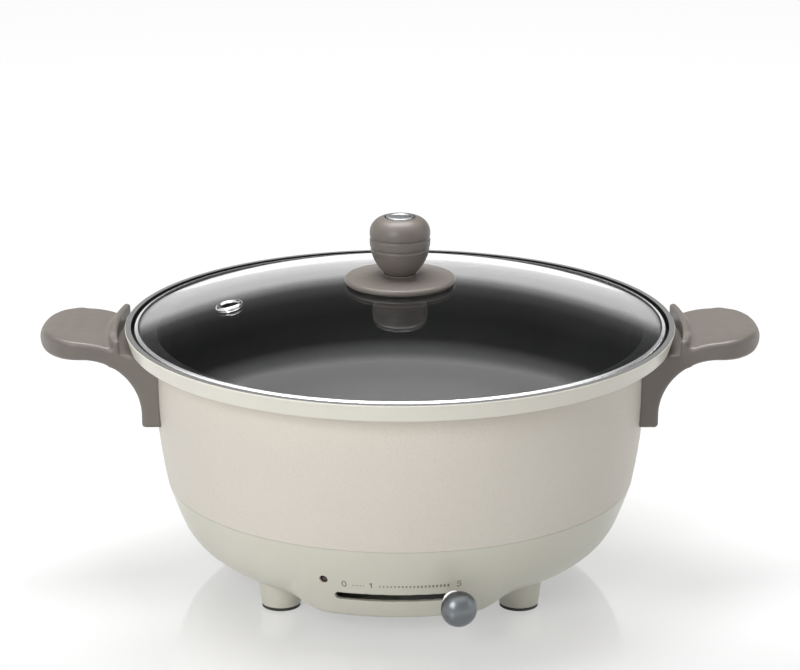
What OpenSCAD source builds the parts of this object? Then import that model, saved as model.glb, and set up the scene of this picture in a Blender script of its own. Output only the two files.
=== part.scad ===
// Electric hot pot with a lift-off glass lid. Millimetres, +Z up.
// The origin is on the pot's axis, at the surface that the feet stand on.
// The control slider faces -Y, the handles lie along X, the power inlet faces +Y.

/* [Pan] */
// Height of the rim above the table
rim_z = 159.5; // [157:0.5:162]
// Outer radius of the rim flange
rim_r = 170; // [168:0.5:172]
// Outer radius of the straight pan wall under the flange
wall_r = 152.5; // [151.5:0.5:153]
// Wall thickness of the cast pan
pan_t = 2.9; // [2.5:0.1:3.2]
// Depth of the step that the lid sits in
seat_depth = 6.5; // [6:0.5:7]
// Radius of the step that the lid sits in
seat_r = 166.3; // [166:0.1:166.6]
// Height of the pan's inner floor above the table
floor_z = 50; // [49.5:0.5:51]

/* [Base] */
// Height of the seam between the pan and the base shell
seam_z = 61.5; // [61:0.5:62]
// Height of the underside of the base above the table
base_z = 13.5; // [13:0.5:14]
// Height of the underside of the control housing, which hangs a little lower
panel_base_z = 11.6; // [11:0.2:12.4]
// Wall thickness of the moulded base
shell_t = 2.8; // [2.6:0.1:3]
// Half width of the control housing
panel_half_w = 64; // [62:1:66]
// Corner radius of the control housing, seen from the front
panel_corner_r = 22; // [20:1:24]
// Edge rounding of the control housing
panel_edge_r = 4.2; // [3.6:0.2:6]
// Radius of the bottom cover
cover_r = 78; // [76:1:79]

/* [Control] */
// Height of the middle of the slider's slot
slot_z = 28; // [27.8:0.1:28.4]
// Height of the opening of the slot
slot_h = 5.2; // [4.8:0.1:5.4]
// Half of the angle that the slot spans
slot_half_angle = 15.7; // [15.6:0.1:16.5]
// Angle of the lever from the front, at rest
lever_rest = 13; // [0:0.5:13]
// Diameter of the slider's knob
ball_d = 21.5; // [20:0.5:22]

/* [Feet] */
// Distance of each foot from the two middle planes
foot_offset = 72.5; // [72:0.5:73]
// Diameter of a foot at its lower end
foot_d = 24; // [22:0.5:26]
// Height of the rubber pad under a foot that shows
pad_h = 2; // [1.4:0.2:2.4]
// Draft of the foot: how much wider the radius is at the top
foot_flare = 2.6; // [2:0.2:3]

/* [Lid] */
// Outer radius of the steel band round the glass
band_r = 164.2; // [164:0.1:164.6]
// Height of the crown of the glass above the rim
crown_h = 25; // [24.6:0.1:25.6]
// Thickness of the glass
glass_t = 4; // [3.5:0.5:4]
// Radius of the knob's base disc
disc_r = 34.3; // [33.5:0.1:36]
// Greatest radius of the knob
grip_r = 18.7; // [18.4:0.1:19.4]
// Distance of the steam vent from the lid's axis
vent_dist = 106; // [100:1:110]
// Direction of the steam vent, counted from +X
vent_angle = 189.2; // [180:0.2:200]

/* [Handles] */
// Distance of a handle's tip from the axis
handle_tip = 223.5; // [221:0.5:226]
// Half of the width of a handle
handle_half_w = 39.5; // [38:0.5:41]
// Height of a handle's underside above the table
grip_under_z = 145; // [144.5:0.5:145.5]
// Radius of the curve under the grip
grip_curve_r = 35; // [34:0.5:36]
// Edge rounding of a handle
handle_edge_r = 2.6; // [2:0.2:3]

/* [Hidden] */

cream = [0.80, 0.79, 0.72];
beige = [0.78, 0.76, 0.70];
taupe = [0.50, 0.48, 0.46];
steel = [0.78, 0.79, 0.80];
dark = [0.16, 0.16, 0.16];
brass = [0.78, 0.66, 0.38];

round_fn = 144;
small_fn = 48;
fit_gap = 0.05;

// Cast pan: a big arc for the bulging wall, a smaller one for the corner of the floor
wall_arc_r = 340;
wall_arc_z = 129.5;
wall_arc_x = wall_r - wall_arc_r;
pan_corner_r = 32;
pan_corner_z = floor_z + pan_corner_r;
inner_arc_r = wall_arc_r - pan_t;
corner_reach = inner_arc_r - pan_corner_r;
pan_corner_x = wall_arc_x + sqrt(pow(corner_reach, 2) - pow(wall_arc_z - pan_corner_z, 2));
tangent_z = wall_arc_z + (pan_corner_z - wall_arc_z) * inner_arc_r / corner_reach;
pan_base_t = 3.2;
pan_under_z = floor_z - pan_base_t;
seat_z = rim_z - seat_depth;
band_h = 10.5;
band_bottom_z = rim_z - band_h;
seam_step = 3.1;
lip_draft = 2.6;
flange_under_z = seat_z - 2.6;
post_r = 5;
post_joint_z = 38;
post_dist = 92;
post_angles = [15, 165, 195, 345];
handle_screw_y = 18;
handle_screw_z = 134;
handle_boss_x = 158;
handle_boss_r = 6;

// Base shell: an upper arc that carries on the pan's line, and a lower one that turns under
lower_arc_r = 42;
lower_arc_z = base_z + lower_arc_r;
upper_arc_r = 300;
turn_angle = 22;
seam_r = wall_arc_x + sqrt(pow(wall_arc_r, 2) - pow(wall_arc_z - seam_z, 2));
upper_arc_z = lower_arc_z + (upper_arc_r - lower_arc_r) * sin(turn_angle);
upper_arc_x = seam_r - sqrt(pow(upper_arc_r, 2) - pow(upper_arc_z - seam_z, 2));
lower_arc_x = upper_arc_x + (upper_arc_r - lower_arc_r) * cos(turn_angle);
shell_top_z = seam_z - 0.4;
ledge_r = cover_r - 8;
ledge_top_z = base_z + 5;
rebate_z = base_z + 2.2;
cover_screw_r = 74;
cover_screw_angles = [90, 210, 330];
panel_inset = 0.5;
panel_back_y = -88;

// Rear boss for the power inlet
boss_half_w = 26;
boss_low_z = 16;
boss_high_z = 46;
boss_y = 141;
boss_corner = 6;
socket_half_w = 17;
socket_low_z = 21;
socket_high_z = 41;
socket_y = 116;
flange_half_w = 21.5;
flange_low_z = 18.5;
flange_high_z = 43.5;
flange_t = 2;
pin_dist = 7;
pin_z = 28;
earth_pin_z = 35;
socket_back_t = 4;
socket_wall = 3;

// Indicator
lamp_angle = -19.1;
lamp_z = 39.3;
lamp_r = 2.5;

// Heater and thermostat
plate_in_r = 58;
plate_out_r = 86;
plate_t = 4.5;
plate_z = pan_under_z - plate_t;
tube_ring_r = 72;
tube_r = 3.5;
tube_gap_angle = 50;
cold_pin_r = 3;
cold_pin_end_z = 30;
reflector_t = 0.6;
reflector_z = 35.5;
reflector_in_r = 42;
reflector_out_r = 84;
stand_r = 80;
stand_angles = [90, 210, 330];
thermostat_r = 15;
thermostat_z = 33.5;
bracket_t = 1.2;
spindle_r = 3;
lever_t = 1.6;
lever_z = slot_z - lever_t / 2;
lever_reach = 121.9;
shutter_r = 122;
shutter_t = 0.8;
stem_r = 1.7;
collar_dist = 138.2;
ball_dist = 153;
ball_half_depth = 8.6;
ball_rim_r = 7;
ball_rim_x = ball_d / 2 - ball_rim_r;
ball_front_r = (pow(ball_rim_x, 2) + pow(ball_half_depth, 2) - pow(ball_rim_r, 2))
    / (2 * (ball_half_depth - ball_rim_r));

// Lid
edge_r = 162.4;
crown_z = rim_z + crown_h;
glass_edge_z = 158.35;
glass_rise = crown_z - glass_edge_z;
glass_r = (pow(edge_r, 2) + pow(glass_rise, 2)) / (2 * glass_rise);
glass_centre_z = crown_z - glass_r;
glass_cut_r = edge_r + 0.6;
vent_tilt = asin(vent_dist / glass_r);
vent_hole_r = 6.3;
glass_hole_r = 4;
glass_slope = asin(edge_r / glass_r);
band_t = 0.6;
lip_slope = glass_slope;
lip_r = 162;
roll_r = 1.05;
roll_x = band_r - roll_r;
roll_z = seat_z + 5;
vent_bore_r = 5.5;
vent_roll_r = 1.5;
vent_t = 0.6;
gasket_r = 31;
gasket_in_r = 25;
gasket_top_z = crown_z + 0.5;
disc_low_z = crown_z - 0.7;
disc_round = 1.4;
disc_rim_z = crown_z + 2.9;
disc_rise = 2.1;
neck_z = disc_rim_z + disc_rise;
disc_top_r = (pow(disc_r - disc_round, 2) + pow(disc_rise, 2)) / (2 * disc_rise);
neck_ring_dist = 10;
neck_ring_r = 0.6;
bowl_arc_r = 28;
belly_z = 211;
shoulder_r = 9.8;
shoulder_z = 216;
shoulder_x = grip_r - shoulder_r;
grip_top_z = shoulder_z + shoulder_r;
groove_zs = [206.4, 213];
cap_r = 8.7;
cap_gap = 0.8;
cap_seat_z = grip_top_z - 2.4;

// Handles: the leg stands against the pan, the fin rises behind the rim
leg_low_z = 102;
leg_face_x = 158.2;
fin_in_r = 174.6;
fin_out_r = 178.4;
fin_top_z = 159.4;
groove_floor_z = 148.7;
wall_gap = 0.25;
curve_x = leg_face_x + grip_curve_r;
curve_z = grip_under_z - grip_curve_r;
plan_corner = 20;
plan_bow = 48;
bow_x = handle_tip - plan_bow;
corner_x = bow_x + sqrt(pow(plan_bow - plan_corner, 2) - pow(handle_half_w - plan_corner, 2));
bow_end_x = bow_x + (corner_x - bow_x) * plan_bow / (plan_bow - plan_corner);
corner_n = 6;
// Top line of the handle over the curve, then stations out to the tip: x, underside, top
grip_top = [[146, 148.7], [152, 148.7], [158, 148.7], [164, 148.7], [169, 148.7], [172, 149.3],
            [175, 151.5], [179, 153.4], [185, 155.2], [curve_x, 156.5]];
grip_ends = [[197, 145, 157], [202, 145, 157.5], [207, 145, 157.8], [211.5, 145, 157.9],
             [214.8, 145.15, 157.8], [217.5, 145.5, 157.6], [219.7, 146.1, 157.2],
             [221.4, 146.9, 156.5], [222.5, 148, 155.6], [223.2, 149.6, 154.4], [223.48, 151.2, 153.1]];
// The fin's top is a wave: high at the back, a notch before its middle, a lower hump at the front
fin_notch = 2;
fin_notch_at = 4;
fin_notch_w = 3.6;
fin_fall = 0.06;
dips = [[196.5, 156.4], [206.5, 157.2]];
dip_r = 14;

function glass_top_z(r) = glass_centre_z + sqrt(glass_r * glass_r - r * r);
function arc_x(cx, r, cz, z) = cx + sqrt(r * r - (z - cz) * (z - cz));

// ---------- helpers ----------

// A region of the right half plane between two heights, for outlines that are turned
module band2d(z0, z1, x1 = 400) { translate([0, z0]) square([x1, z1 - z0]); }

module turned() { rotate_extrude($fn = round_fn) children(); }

module at_polar(r, a, z = 0) { rotate([0, 0, a]) translate([r, 0, z]) children(); }

module at_feet() {
    for (sx = [-1, 1], sy = [-1, 1]) translate([sx * foot_offset, sy * foot_offset, 0]) children();
}

// Points outwards along -Y, turned by an angle towards +X
module facing(angle) { rotate([0, 0, angle]) rotate([90, 0, 0]) children(); }

// A pan-head screw along +Z, with its head's top at the origin and a hex socket
module screw(shank_r, shank_l, head_r, head_h) {
    difference() {
        union() {
            cylinder(h = head_h, r = head_r, $fn = small_fn);
            cylinder(h = head_h + shank_l, r = shank_r, $fn = small_fn);
        }
        translate([0, 0, -1]) cylinder(h = 1 + head_h * 0.55, r = head_r * 0.5, $fn = 6);
    }
}

function unit(v) = v / norm(v);

// An insulated wire through a list of points, mitred at the bends
module wire(points, r = 1.2) {
    last = len(points) - 1;
    side = unit(cross(points[last] - points[0], [0.3, 0.2, 1]));
    loft([for (i = [0 : last])
        let (
            before = i > 0 ? unit(points[i] - points[i - 1]) : unit(points[1] - points[0]),
            after = i < last ? unit(points[i + 1] - points[i]) : before,
            along = unit(before + after),
            u = unit(side - (side * along) * along),
            v = cross(along, u)
        )
        [for (k = [0 : 36 : 324]) points[i] + r * (cos(k) * u + sin(k) * v)]
    ]);
}

// A solid skin through a row of rings that all have the same number of points
module loft(rings) {
    n = len(rings[0]);
    m = len(rings);
    polyhedron(
        points = [for (ring = rings) for (p = ring) p],
        faces = concat(
            [[for (i = [0 : n - 1]) i]],
            [[for (i = [0 : n - 1]) m * n - 1 - i]],
            [for (k = [0 : m - 2], i = [0 : n - 1])
                let (j = (i + 1) % n) [k * n + j, k * n + i, (k + 1) * n + j]],
            [for (k = [0 : m - 2], i = [0 : n - 1])
                let (j = (i + 1) % n) [(k + 1) * n + j, k * n + i, (k + 1) * n + i]]
        ),
        convexity = 6
    );
}

// ---------- pan ----------

module pan_outer_2d() {
    intersection() {
        translate([wall_arc_x, wall_arc_z]) circle(r = wall_arc_r, $fn = 720);
        band2d(seam_z + 0.2, wall_arc_z);
    }
    band2d(wall_arc_z - 0.01, flange_under_z + 1, wall_r);
    // flange with a lip that hangs down and a rounded top edge
    difference() {
        union() {
            polygon([[0, flange_under_z], [wall_r, flange_under_z], [wall_r + 3, flange_under_z],
                     [rim_r - lip_draft - 2.8, flange_under_z], [rim_r - lip_draft - 2.2, band_bottom_z],
                     [rim_r - lip_draft - 0.5, band_bottom_z], [rim_r - lip_draft, band_bottom_z + 0.5],
                     [rim_r, rim_z - 1], [rim_r - 1, rim_z], [0, rim_z]]);
            translate([rim_r - 1, rim_z - 1]) circle(r = 1, $fn = small_fn);
        }
    }
    // fillet where the wall meets the flange
    difference() {
        translate([wall_r - 1, flange_under_z - 3]) square([4, 3.5]);
        translate([wall_r + 3, flange_under_z - 3]) circle(r = 3, $fn = small_fn);
    }
    intersection() {
        translate([pan_corner_x, pan_corner_z]) circle(r = pan_corner_r + pan_base_t, $fn = 360);
        band2d(pan_under_z, seam_z + 0.21);
    }
    band2d(pan_under_z, seam_z + 0.21, pan_corner_x);
}

module pan_inner_2d() {
    intersection() {
        translate([wall_arc_x, wall_arc_z]) circle(r = inner_arc_r, $fn = 720);
        band2d(tangent_z, wall_arc_z);
    }
    band2d(wall_arc_z - 0.01, rim_z + 5, wall_r - pan_t);
    intersection() {
        translate([pan_corner_x, pan_corner_z]) circle(r = pan_corner_r, $fn = 360);
        band2d(floor_z, tangent_z + 0.01);
    }
    band2d(floor_z, tangent_z + 0.01, pan_corner_x);
    // step that takes the lid
    band2d(seat_z, rim_z + 5, seat_r);
}

module pan() color(beige) {
    difference() {
        union() {
            turned() difference() { pan_outer_2d(); pan_inner_2d(); }
            // cast bosses for the handles
            for (side = [0, 180], sy = [-1, 1]) rotate([0, 0, side])
                translate([146, sy * handle_screw_y, handle_screw_z]) rotate([0, 90, 0])
                    cylinder(h = handle_boss_x - 146, r = handle_boss_r, $fn = small_fn);
            // posts that the base shell is screwed to
            for (a = post_angles) at_polar(post_dist, a, post_joint_z)
                cylinder(h = pan_under_z + 1 - post_joint_z, r = post_r, $fn = small_fn);
            // short studs for the thermostat's bracket
            for (sx = [-1, 1]) translate([sx * 26, 0, pan_under_z - 2])
                cylinder(h = 3, r = 4, $fn = small_fn);
        }
        turned() pan_inner_2d();
        for (side = [0, 180], sy = [-1, 1]) rotate([0, 0, side])
            translate([151, sy * handle_screw_y, handle_screw_z]) rotate([0, 90, 0])
                cylinder(h = 20, r = 2, $fn = small_fn);
        for (a = post_angles) at_polar(post_dist, a, post_joint_z - 1)
            cylinder(h = 9.5, r = 2, $fn = small_fn);
        for (sx = [-1, 1]) translate([sx * 26, 0, pan_under_z - 3])
            cylinder(h = 5, r = 1.6, $fn = small_fn);
    }
}

// ---------- base ----------

// The bowl of the base, drawn t inside its outer surface
module bowl_2d(t, top = shell_top_z) {
    turn_z = lower_arc_z - (lower_arc_r - t) * sin(turn_angle);
    intersection() {
        translate([upper_arc_x, upper_arc_z]) circle(r = upper_arc_r - t, $fn = 720);
        band2d(turn_z, top);
    }
    intersection() {
        translate([lower_arc_x, lower_arc_z]) circle(r = lower_arc_r - t, $fn = 360);
        band2d(base_z + t, turn_z + 0.01);
    }
    band2d(base_z + t, turn_z + 0.01, lower_arc_x);
}

// Core of the control housing: the wall's line carried straight down, cut to the front
module panel_core() {
    r = panel_edge_r;
    corner = panel_corner_r - r;
    half = panel_half_w - r;
    low = panel_base_z + r;
    intersection() {
        rotate_extrude(angle = 70, start = 235, $fn = 96)
            intersection() {
                translate([upper_arc_x - panel_inset, upper_arc_z])
                    circle(r = upper_arc_r - r, $fn = 180);
                translate([80, low]) square([90, 50 - low]);
            }
        translate([0, panel_back_y + r, 0]) rotate([90, 0, 0]) linear_extrude(80) {
            translate([-half, low + corner]) square([2 * half, 60]);
            translate([-half + corner, low]) square([2 * (half - corner), 60]);
            for (sx = [-1, 1]) translate([sx * (half - corner), low + corner])
                circle(r = corner, $fn = 32);
        }
    }
}

module panel_outer() {
    minkowski() { panel_core(); sphere(r = panel_edge_r, $fn = 20); }
}

module panel_inner() {
    minkowski() { panel_core(); sphere(r = panel_edge_r - shell_t, $fn = 16); }
}

module rear_boss(t) {
    w = boss_half_w - t;
    c = boss_corner - t;
    translate([0, boss_y - t, 0]) rotate([90, 0, 0]) linear_extrude(boss_y - t - 100) {
        translate([-w + c, boss_low_z + t]) square([2 * (w - c), boss_high_z - boss_low_z - 2 * t]);
        translate([-w, boss_low_z + t + c]) square([2 * w, boss_high_z - boss_low_z - 2 * (t + c)]);
        for (sx = [-1, 1], z = [boss_low_z + boss_corner, boss_high_z - boss_corner])
            translate([sx * (w - c), z]) circle(r = c, $fn = small_fn);
    }
}

module slot_cut() {
    // the arc of the slot, with round ends that stay a hair inside its two flat sides
    rotate_extrude(angle = 2 * slot_half_angle, start = 270 - slot_half_angle, $fn = round_fn)
        translate([118, slot_z - slot_h / 2]) square([30, slot_h]);
    for (s = [-1, 1]) facing(s * slot_half_angle) translate([0, slot_z, 118])
        cylinder(h = 30, r = slot_h / 2 - 0.02, $fn = small_fn);
}

module base_shell() color(cream) {
    difference() {
        union() {
            difference() {
                union() {
                    turned() bowl_2d(0);
                    panel_outer();
                    rear_boss(0);
                }
                turned() bowl_2d(shell_t, seam_z + 5);
                panel_inner();
                rear_boss(shell_t);
            }
            // ledge that the bottom cover sits in
            turned() translate([ledge_r, base_z]) square([cover_r + 3 - ledge_r, ledge_top_z - base_z]);
            // screw posts for the pan, the feet and the cover
            for (a = post_angles) at_polar(post_dist, a, base_z + 1)
                cylinder(h = post_joint_z - base_z - 1, r = 6, $fn = small_fn);
            intersection() {
                at_feet() translate([0, 0, base_z]) cylinder(h = 26.5 - base_z, r = 6.5, $fn = small_fn);
                turned() bowl_2d(0.5);
            }
            for (a = cover_screw_angles) at_polar(cover_screw_r, a, base_z + 1)
                cylinder(h = 9, r = 4, $fn = small_fn);
            // sleeve of the indicator
            facing(lamp_angle) translate([0, lamp_z, 127]) cylinder(h = 8.2, r = lamp_r + 1.6, $fn = small_fn);
        }
        translate([0, 0, base_z - 1]) cylinder(h = 1 + rebate_z - base_z, r = cover_r + 0.3, $fn = round_fn);
        translate([0, 0, base_z - 1]) cylinder(h = 8, r = ledge_r, $fn = round_fn);
        for (a = post_angles) at_polar(post_dist, a, base_z - 1) {
            cylinder(h = 7.5, r = 4.4, $fn = small_fn);
            cylinder(h = 40, r = 2.2, $fn = small_fn);
        }
        at_feet() translate([0, 0, base_z - 1]) cylinder(h = 12, r = 2, $fn = small_fn);
        for (a = cover_screw_angles) at_polar(cover_screw_r, a, base_z - 1)
            cylinder(h = 10, r = 1.6, $fn = small_fn);
        slot_cut();
        facing(lamp_angle) translate([0, lamp_z, 120]) cylinder(h = 40, r = lamp_r, $fn = small_fn);
        translate([-socket_half_w, 100, socket_low_z])
            cube([2 * socket_half_w, 60, socket_high_z - socket_low_z]);
        for (sx = [-1, 1]) translate([sx * 19.2, 130, (socket_low_z + socket_high_z) / 2])
            rotate([-90, 0, 0]) cylinder(h = 20, r = 1.3, $fn = small_fn);
    }
}

module bottom_cover() color(cream) {
    difference() {
        translate([0, 0, base_z]) cylinder(h = rebate_z - base_z, r = cover_r, $fn = round_fn);
        // two rings of cooling slots
        for (ring = [[30, 16], [50, 24]]) for (i = [0 : ring[1] - 1])
            at_polar(ring[0], 360 * i / ring[1], base_z - 1) {
                translate([0, -1.5, 0]) cube([12, 3, 5]);
                for (x = [0, 12]) translate([x, 0, 0]) cylinder(h = 5, r = 1.5, $fn = 24);
            }
        for (a = cover_screw_angles) at_polar(cover_screw_r, a, base_z - 1)
            cylinder(h = 5, r = 1.8, $fn = small_fn);
        // finger recess ring
        turned() translate([14, base_z - 1]) square([4, 1.8]);
    }
}

module foot() color(cream) difference() {
    intersection() {
        translate([foot_offset, foot_offset, pad_h])
            cylinder(h = 20, r1 = foot_d / 2, r2 = foot_d / 2 + foot_flare, $fn = 96);
        foot_envelope();
    }
    translate([foot_offset, foot_offset, 0]) {
        cylinder(h = 4.2, r = 10.4, $fn = small_fn);
        cylinder(h = 9, r = 4.6, $fn = small_fn);
        cylinder(h = 30, r = 2.2, $fn = small_fn);
    }
}

// Everything below the bowl, so that a foot's top fits the bowl's curve
module foot_envelope() {
    difference() {
        cylinder(h = 30, r = 130, $fn = round_fn);
        turned() bowl_2d(0);
    }
}

module pad() color(dark) translate([foot_offset, foot_offset, 0]) {
    difference() {
        union() {
            cylinder(h = pad_h, r = foot_d / 2 - 0.3, $fn = 96);
            cylinder(h = 4.2, r = 10.2, $fn = 96);
        }
        translate([0, 0, 2.4]) cylinder(h = 3, r = 7, $fn = small_fn);
    }
}

module foot_front_left() { mirror([1, 0, 0]) mirror([0, 1, 0]) foot(); }
module foot_front_right() { mirror([0, 1, 0]) foot(); }
module foot_rear_left() { mirror([1, 0, 0]) foot(); }
module foot_rear_right() { foot(); }
module pad_front_left() { mirror([1, 0, 0]) mirror([0, 1, 0]) pad(); }
module pad_front_right() { mirror([0, 1, 0]) pad(); }
module pad_rear_left() { mirror([1, 0, 0]) pad(); }
module pad_rear_right() { pad(); }

module foot_screws() color(steel)
    at_feet() translate([0, 0, 6.6]) screw(1.9, 14, 4, 2.4);

module cover_screws() color(steel)
    for (a = cover_screw_angles) at_polar(cover_screw_r, a, base_z - 1.6) screw(1.5, 8.5, 3.2, 1.6);

module base_screws() color(steel)
    for (a = post_angles) at_polar(post_dist, a, base_z + 4.1) screw(1.9, 26, 4, 2.4);

// ---------- heater ----------

module heat_plate() color(steel) {
    difference() {
        union() {
            turned() translate([plate_in_r, plate_z]) square([plate_out_r - plate_in_r, plate_t]);
            for (a = stand_angles) at_polar(stand_r, a, reflector_z + reflector_t)
                cylinder(h = plate_z - reflector_z, r = 3, $fn = small_fn);
        }
        rotate_extrude($fn = round_fn) translate([tube_ring_r, plate_z]) circle(r = tube_r, $fn = small_fn);
        for (a = stand_angles) at_polar(stand_r, a, reflector_z - 1) cylinder(h = 7, r = 1.3, $fn = small_fn);
        for (a = post_angles) at_polar(post_dist, a, plate_z - 1) cylinder(h = 8, r = post_r + 2, $fn = small_fn);
    }
}

module heating_element() color([0.45, 0.42, 0.38]) {
    open = tube_gap_angle / 2;
    rotate_extrude(angle = 360 - tube_gap_angle, start = 90 + open, $fn = round_fn)
        translate([tube_ring_r, plate_z]) circle(r = tube_r, $fn = small_fn);
    for (s = [-1, 1]) at_polar(tube_ring_r, 90 + s * open, cold_pin_end_z)
        cylinder(h = plate_z - cold_pin_end_z, r = cold_pin_r, $fn = small_fn);
}

module reflector() color(steel) {
    difference() {
        turned() {
            translate([reflector_in_r, reflector_z]) square([reflector_out_r - reflector_in_r, reflector_t]);
            translate([reflector_in_r, reflector_z]) square([reflector_t, 3]);
            translate([reflector_out_r - reflector_t, reflector_z]) square([reflector_t, 3]);
        }
        for (a = stand_angles) at_polar(stand_r, a, reflector_z - 1) cylinder(h = 3, r = 1.6, $fn = small_fn);
        for (s = [-1, 1]) at_polar(tube_ring_r, 90 + s * tube_gap_angle / 2, reflector_z - 1)
            cylinder(h = 3, r = cold_pin_r + 2, $fn = small_fn);
    }
}

module reflector_screws() color(steel)
    for (a = stand_angles) at_polar(stand_r, a, reflector_z - 1.6) screw(1.2, 5, 2.6, 1.6);

module thermostat() color([0.85, 0.84, 0.80]) {
    difference() {
        union() {
            translate([0, 0, thermostat_z]) cylinder(h = 9, r = thermostat_r, $fn = 96);
            translate([0, 0, thermostat_z + 9]) cylinder(h = pan_under_z - thermostat_z - 9, r = 11, $fn = 96);
        }
        translate([0, 0, thermostat_z - 1]) cylinder(h = 7, r = spindle_r + fit_gap, $fn = small_fn);
    }
}

// A strap under the thermostat with legs up to the pan's studs
module thermostat_bracket() color(steel) {
    foot_z = pan_under_z - 2 - bracket_t;
    difference() {
        union() {
            translate([-20, -7, thermostat_z - bracket_t]) cube([40, 14, bracket_t]);
            for (sx = [0, 180]) rotate([0, 0, sx]) {
                translate([20 - bracket_t, -7, thermostat_z - bracket_t])
                    cube([bracket_t, 14, foot_z + 2 * bracket_t - thermostat_z]);
                translate([20 - bracket_t, -7, foot_z]) cube([12, 14, bracket_t]);
            }
        }
        translate([0, 0, thermostat_z - 3]) cylinder(h = 6, r = 6, $fn = small_fn);
        for (sx = [-1, 1]) translate([sx * 26, 0, foot_z - 1]) cylinder(h = 4, r = 1.8, $fn = small_fn);
    }
}

module bracket_screws() color(steel)
    for (sx = [-1, 1]) translate([sx * 26, 0, pan_under_z - 2 - bracket_t - 1.8]) screw(1.5, 4.8, 3, 1.8);

// ---------- wiring ----------

module terminal_block() color([0.9, 0.89, 0.84]) difference() {
    translate([-16, 84, base_z + shell_t]) cube([32, 13, 11]);
    for (x = [-11, 0, 11]) translate([x, 90.5, base_z + shell_t + 7]) cylinder(h = 10, r = 2, $fn = 24);
    translate([-18, 86, base_z + shell_t - 1]) cube([36, 4, 3.2]);
}

module thermal_fuse() color([0.85, 0.82, 0.7])
    translate([30.4, 30, 26]) rotate([-90, 0, 0]) cylinder(h = 14, r = 2.6, $fn = small_fn);

module lead_wires() color([0.75, 0.75, 0.72]) {
    pin_x = tube_ring_r * sin(tube_gap_angle / 2);
    pin_y = tube_ring_r * cos(tube_gap_angle / 2);
    top = base_z + shell_t + 11;
    tail_y = 108;
    // block to the heater's left pin
    wire([[-14, 87, top], [-14, 87, top + 3], [-pin_x, pin_y + 6, 24], [-pin_x, pin_y, 26], [-pin_x, pin_y, cold_pin_end_z]]);
    // heater's right pin to the thermal fuse
    wire([[pin_x, pin_y, cold_pin_end_z], [pin_x, pin_y, 26], [30.4, 56, 26], [30.4, 44, 26]]);
    // thermal fuse to the thermostat
    wire([[30.4, 30, 26], [30.4, 24, 26], [8, 12, 24], [8, 11, 28], [8, 11, thermostat_z]]);
    // thermostat to the block
    wire([[-8, 11, thermostat_z], [-8, 11, 26], [-6, 60, 24], [14, 80, top + 3], [14, 87, top + 3], [14, 87, top]]);
    // block to the inlet's live and neutral pins
    for (s = [-1, 1]) wire([[s * 6, 94, top], [s * 6, 94, top + 2], [s * pin_dist, 102, pin_z], [s * pin_dist, tail_y, pin_z]]);
}

module indicator_lens() color([0.25, 0.05, 0.04])
    facing(lamp_angle) translate([0, lamp_z, 129]) difference() {
        union() {
            cylinder(h = 6.4, r = lamp_r - fit_gap, $fn = small_fn);
            intersection() {
                cylinder(h = 8, r = lamp_r - fit_gap, $fn = small_fn);
                translate([0, 0, 6.4 + 0.9 - 5]) sphere(r = 5, $fn = small_fn);
            }
            translate([0, 0, -3.2]) cylinder(h = 1.2, r = 3.6, $fn = small_fn);
            translate([0, 0, -2.05]) cylinder(h = 3, r = lamp_r - fit_gap, $fn = small_fn);
        }
        translate([0, 0, -4]) cylinder(h = 8, r = 1.6, $fn = small_fn);
    }

module indicator_lamp() color([0.9, 0.6, 0.45])
    facing(lamp_angle) translate([0, lamp_z, 119]) {
        cylinder(h = 12, r = 1.5, $fn = small_fn);
        for (x = [-0.8, 0.8]) translate([x, 0, -6]) cylinder(h = 7, r = 0.3, $fn = 16);
    }

// ---------- power inlet ----------

module inlet_socket() color(dark) difference() {
    union() {
        translate([-socket_half_w + 0.2, socket_y, socket_low_z + 0.2])
            cube([2 * socket_half_w - 0.4, boss_y - socket_y + 1, socket_high_z - socket_low_z - 0.4]);
        translate([0, boss_y + flange_t, 0]) rotate([90, 0, 0]) linear_extrude(flange_t) {
            c = 4;
            translate([-flange_half_w + c, flange_low_z])
                square([2 * (flange_half_w - c), flange_high_z - flange_low_z]);
            translate([-flange_half_w, flange_low_z + c])
                square([2 * flange_half_w, flange_high_z - flange_low_z - 2 * c]);
            for (sx = [-1, 1], z = [flange_low_z + c, flange_high_z - c])
                translate([sx * (flange_half_w - c), z]) circle(r = c, $fn = small_fn);
        }
    }
    // the cavity that takes the plug, with two cut corners so that it goes in one way
    translate([0, boss_y + flange_t + 1, 0]) rotate([90, 0, 0])
        linear_extrude(boss_y + flange_t + 1 - socket_y - socket_back_t)
            polygon([[-13, 24], [13, 24], [13, 35], [9, 38.4], [-9, 38.4], [-13, 35]]);
    for (p = inlet_pin_places()) translate([p[0], socket_y - 1, p[1]]) rotate([-90, 0, 0])
        cylinder(h = 10, r = 2, $fn = small_fn);
    for (sx = [-1, 1]) translate([sx * 19.2, boss_y - 1, (socket_low_z + socket_high_z) / 2])
        rotate([-90, 0, 0]) cylinder(h = 5, r = 1.5, $fn = small_fn);
}

function inlet_pin_places() = [[-pin_dist, pin_z], [pin_dist, pin_z], [0, earth_pin_z]];

module inlet_pins() color(steel)
    for (p = inlet_pin_places()) translate([p[0], 108, p[1]]) rotate([-90, 0, 0]) {
        cylinder(h = 29, r = 1.95, $fn = small_fn);
        translate([0, 0, 29]) cylinder(h = 1.2, r1 = 1.95, r2 = 1, $fn = small_fn);
        translate([0, 0, 5.5]) cylinder(h = 2.5, r = 2.8, $fn = small_fn);
    }

module inlet_screws() color(steel)
    for (sx = [-1, 1]) translate([sx * 19.2, boss_y + flange_t + 1.2, (socket_low_z + socket_high_z) / 2])
        rotate([90, 0, 0]) screw(1.2, 7, 1.9, 1.2);

// ---------- handles ----------

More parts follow.
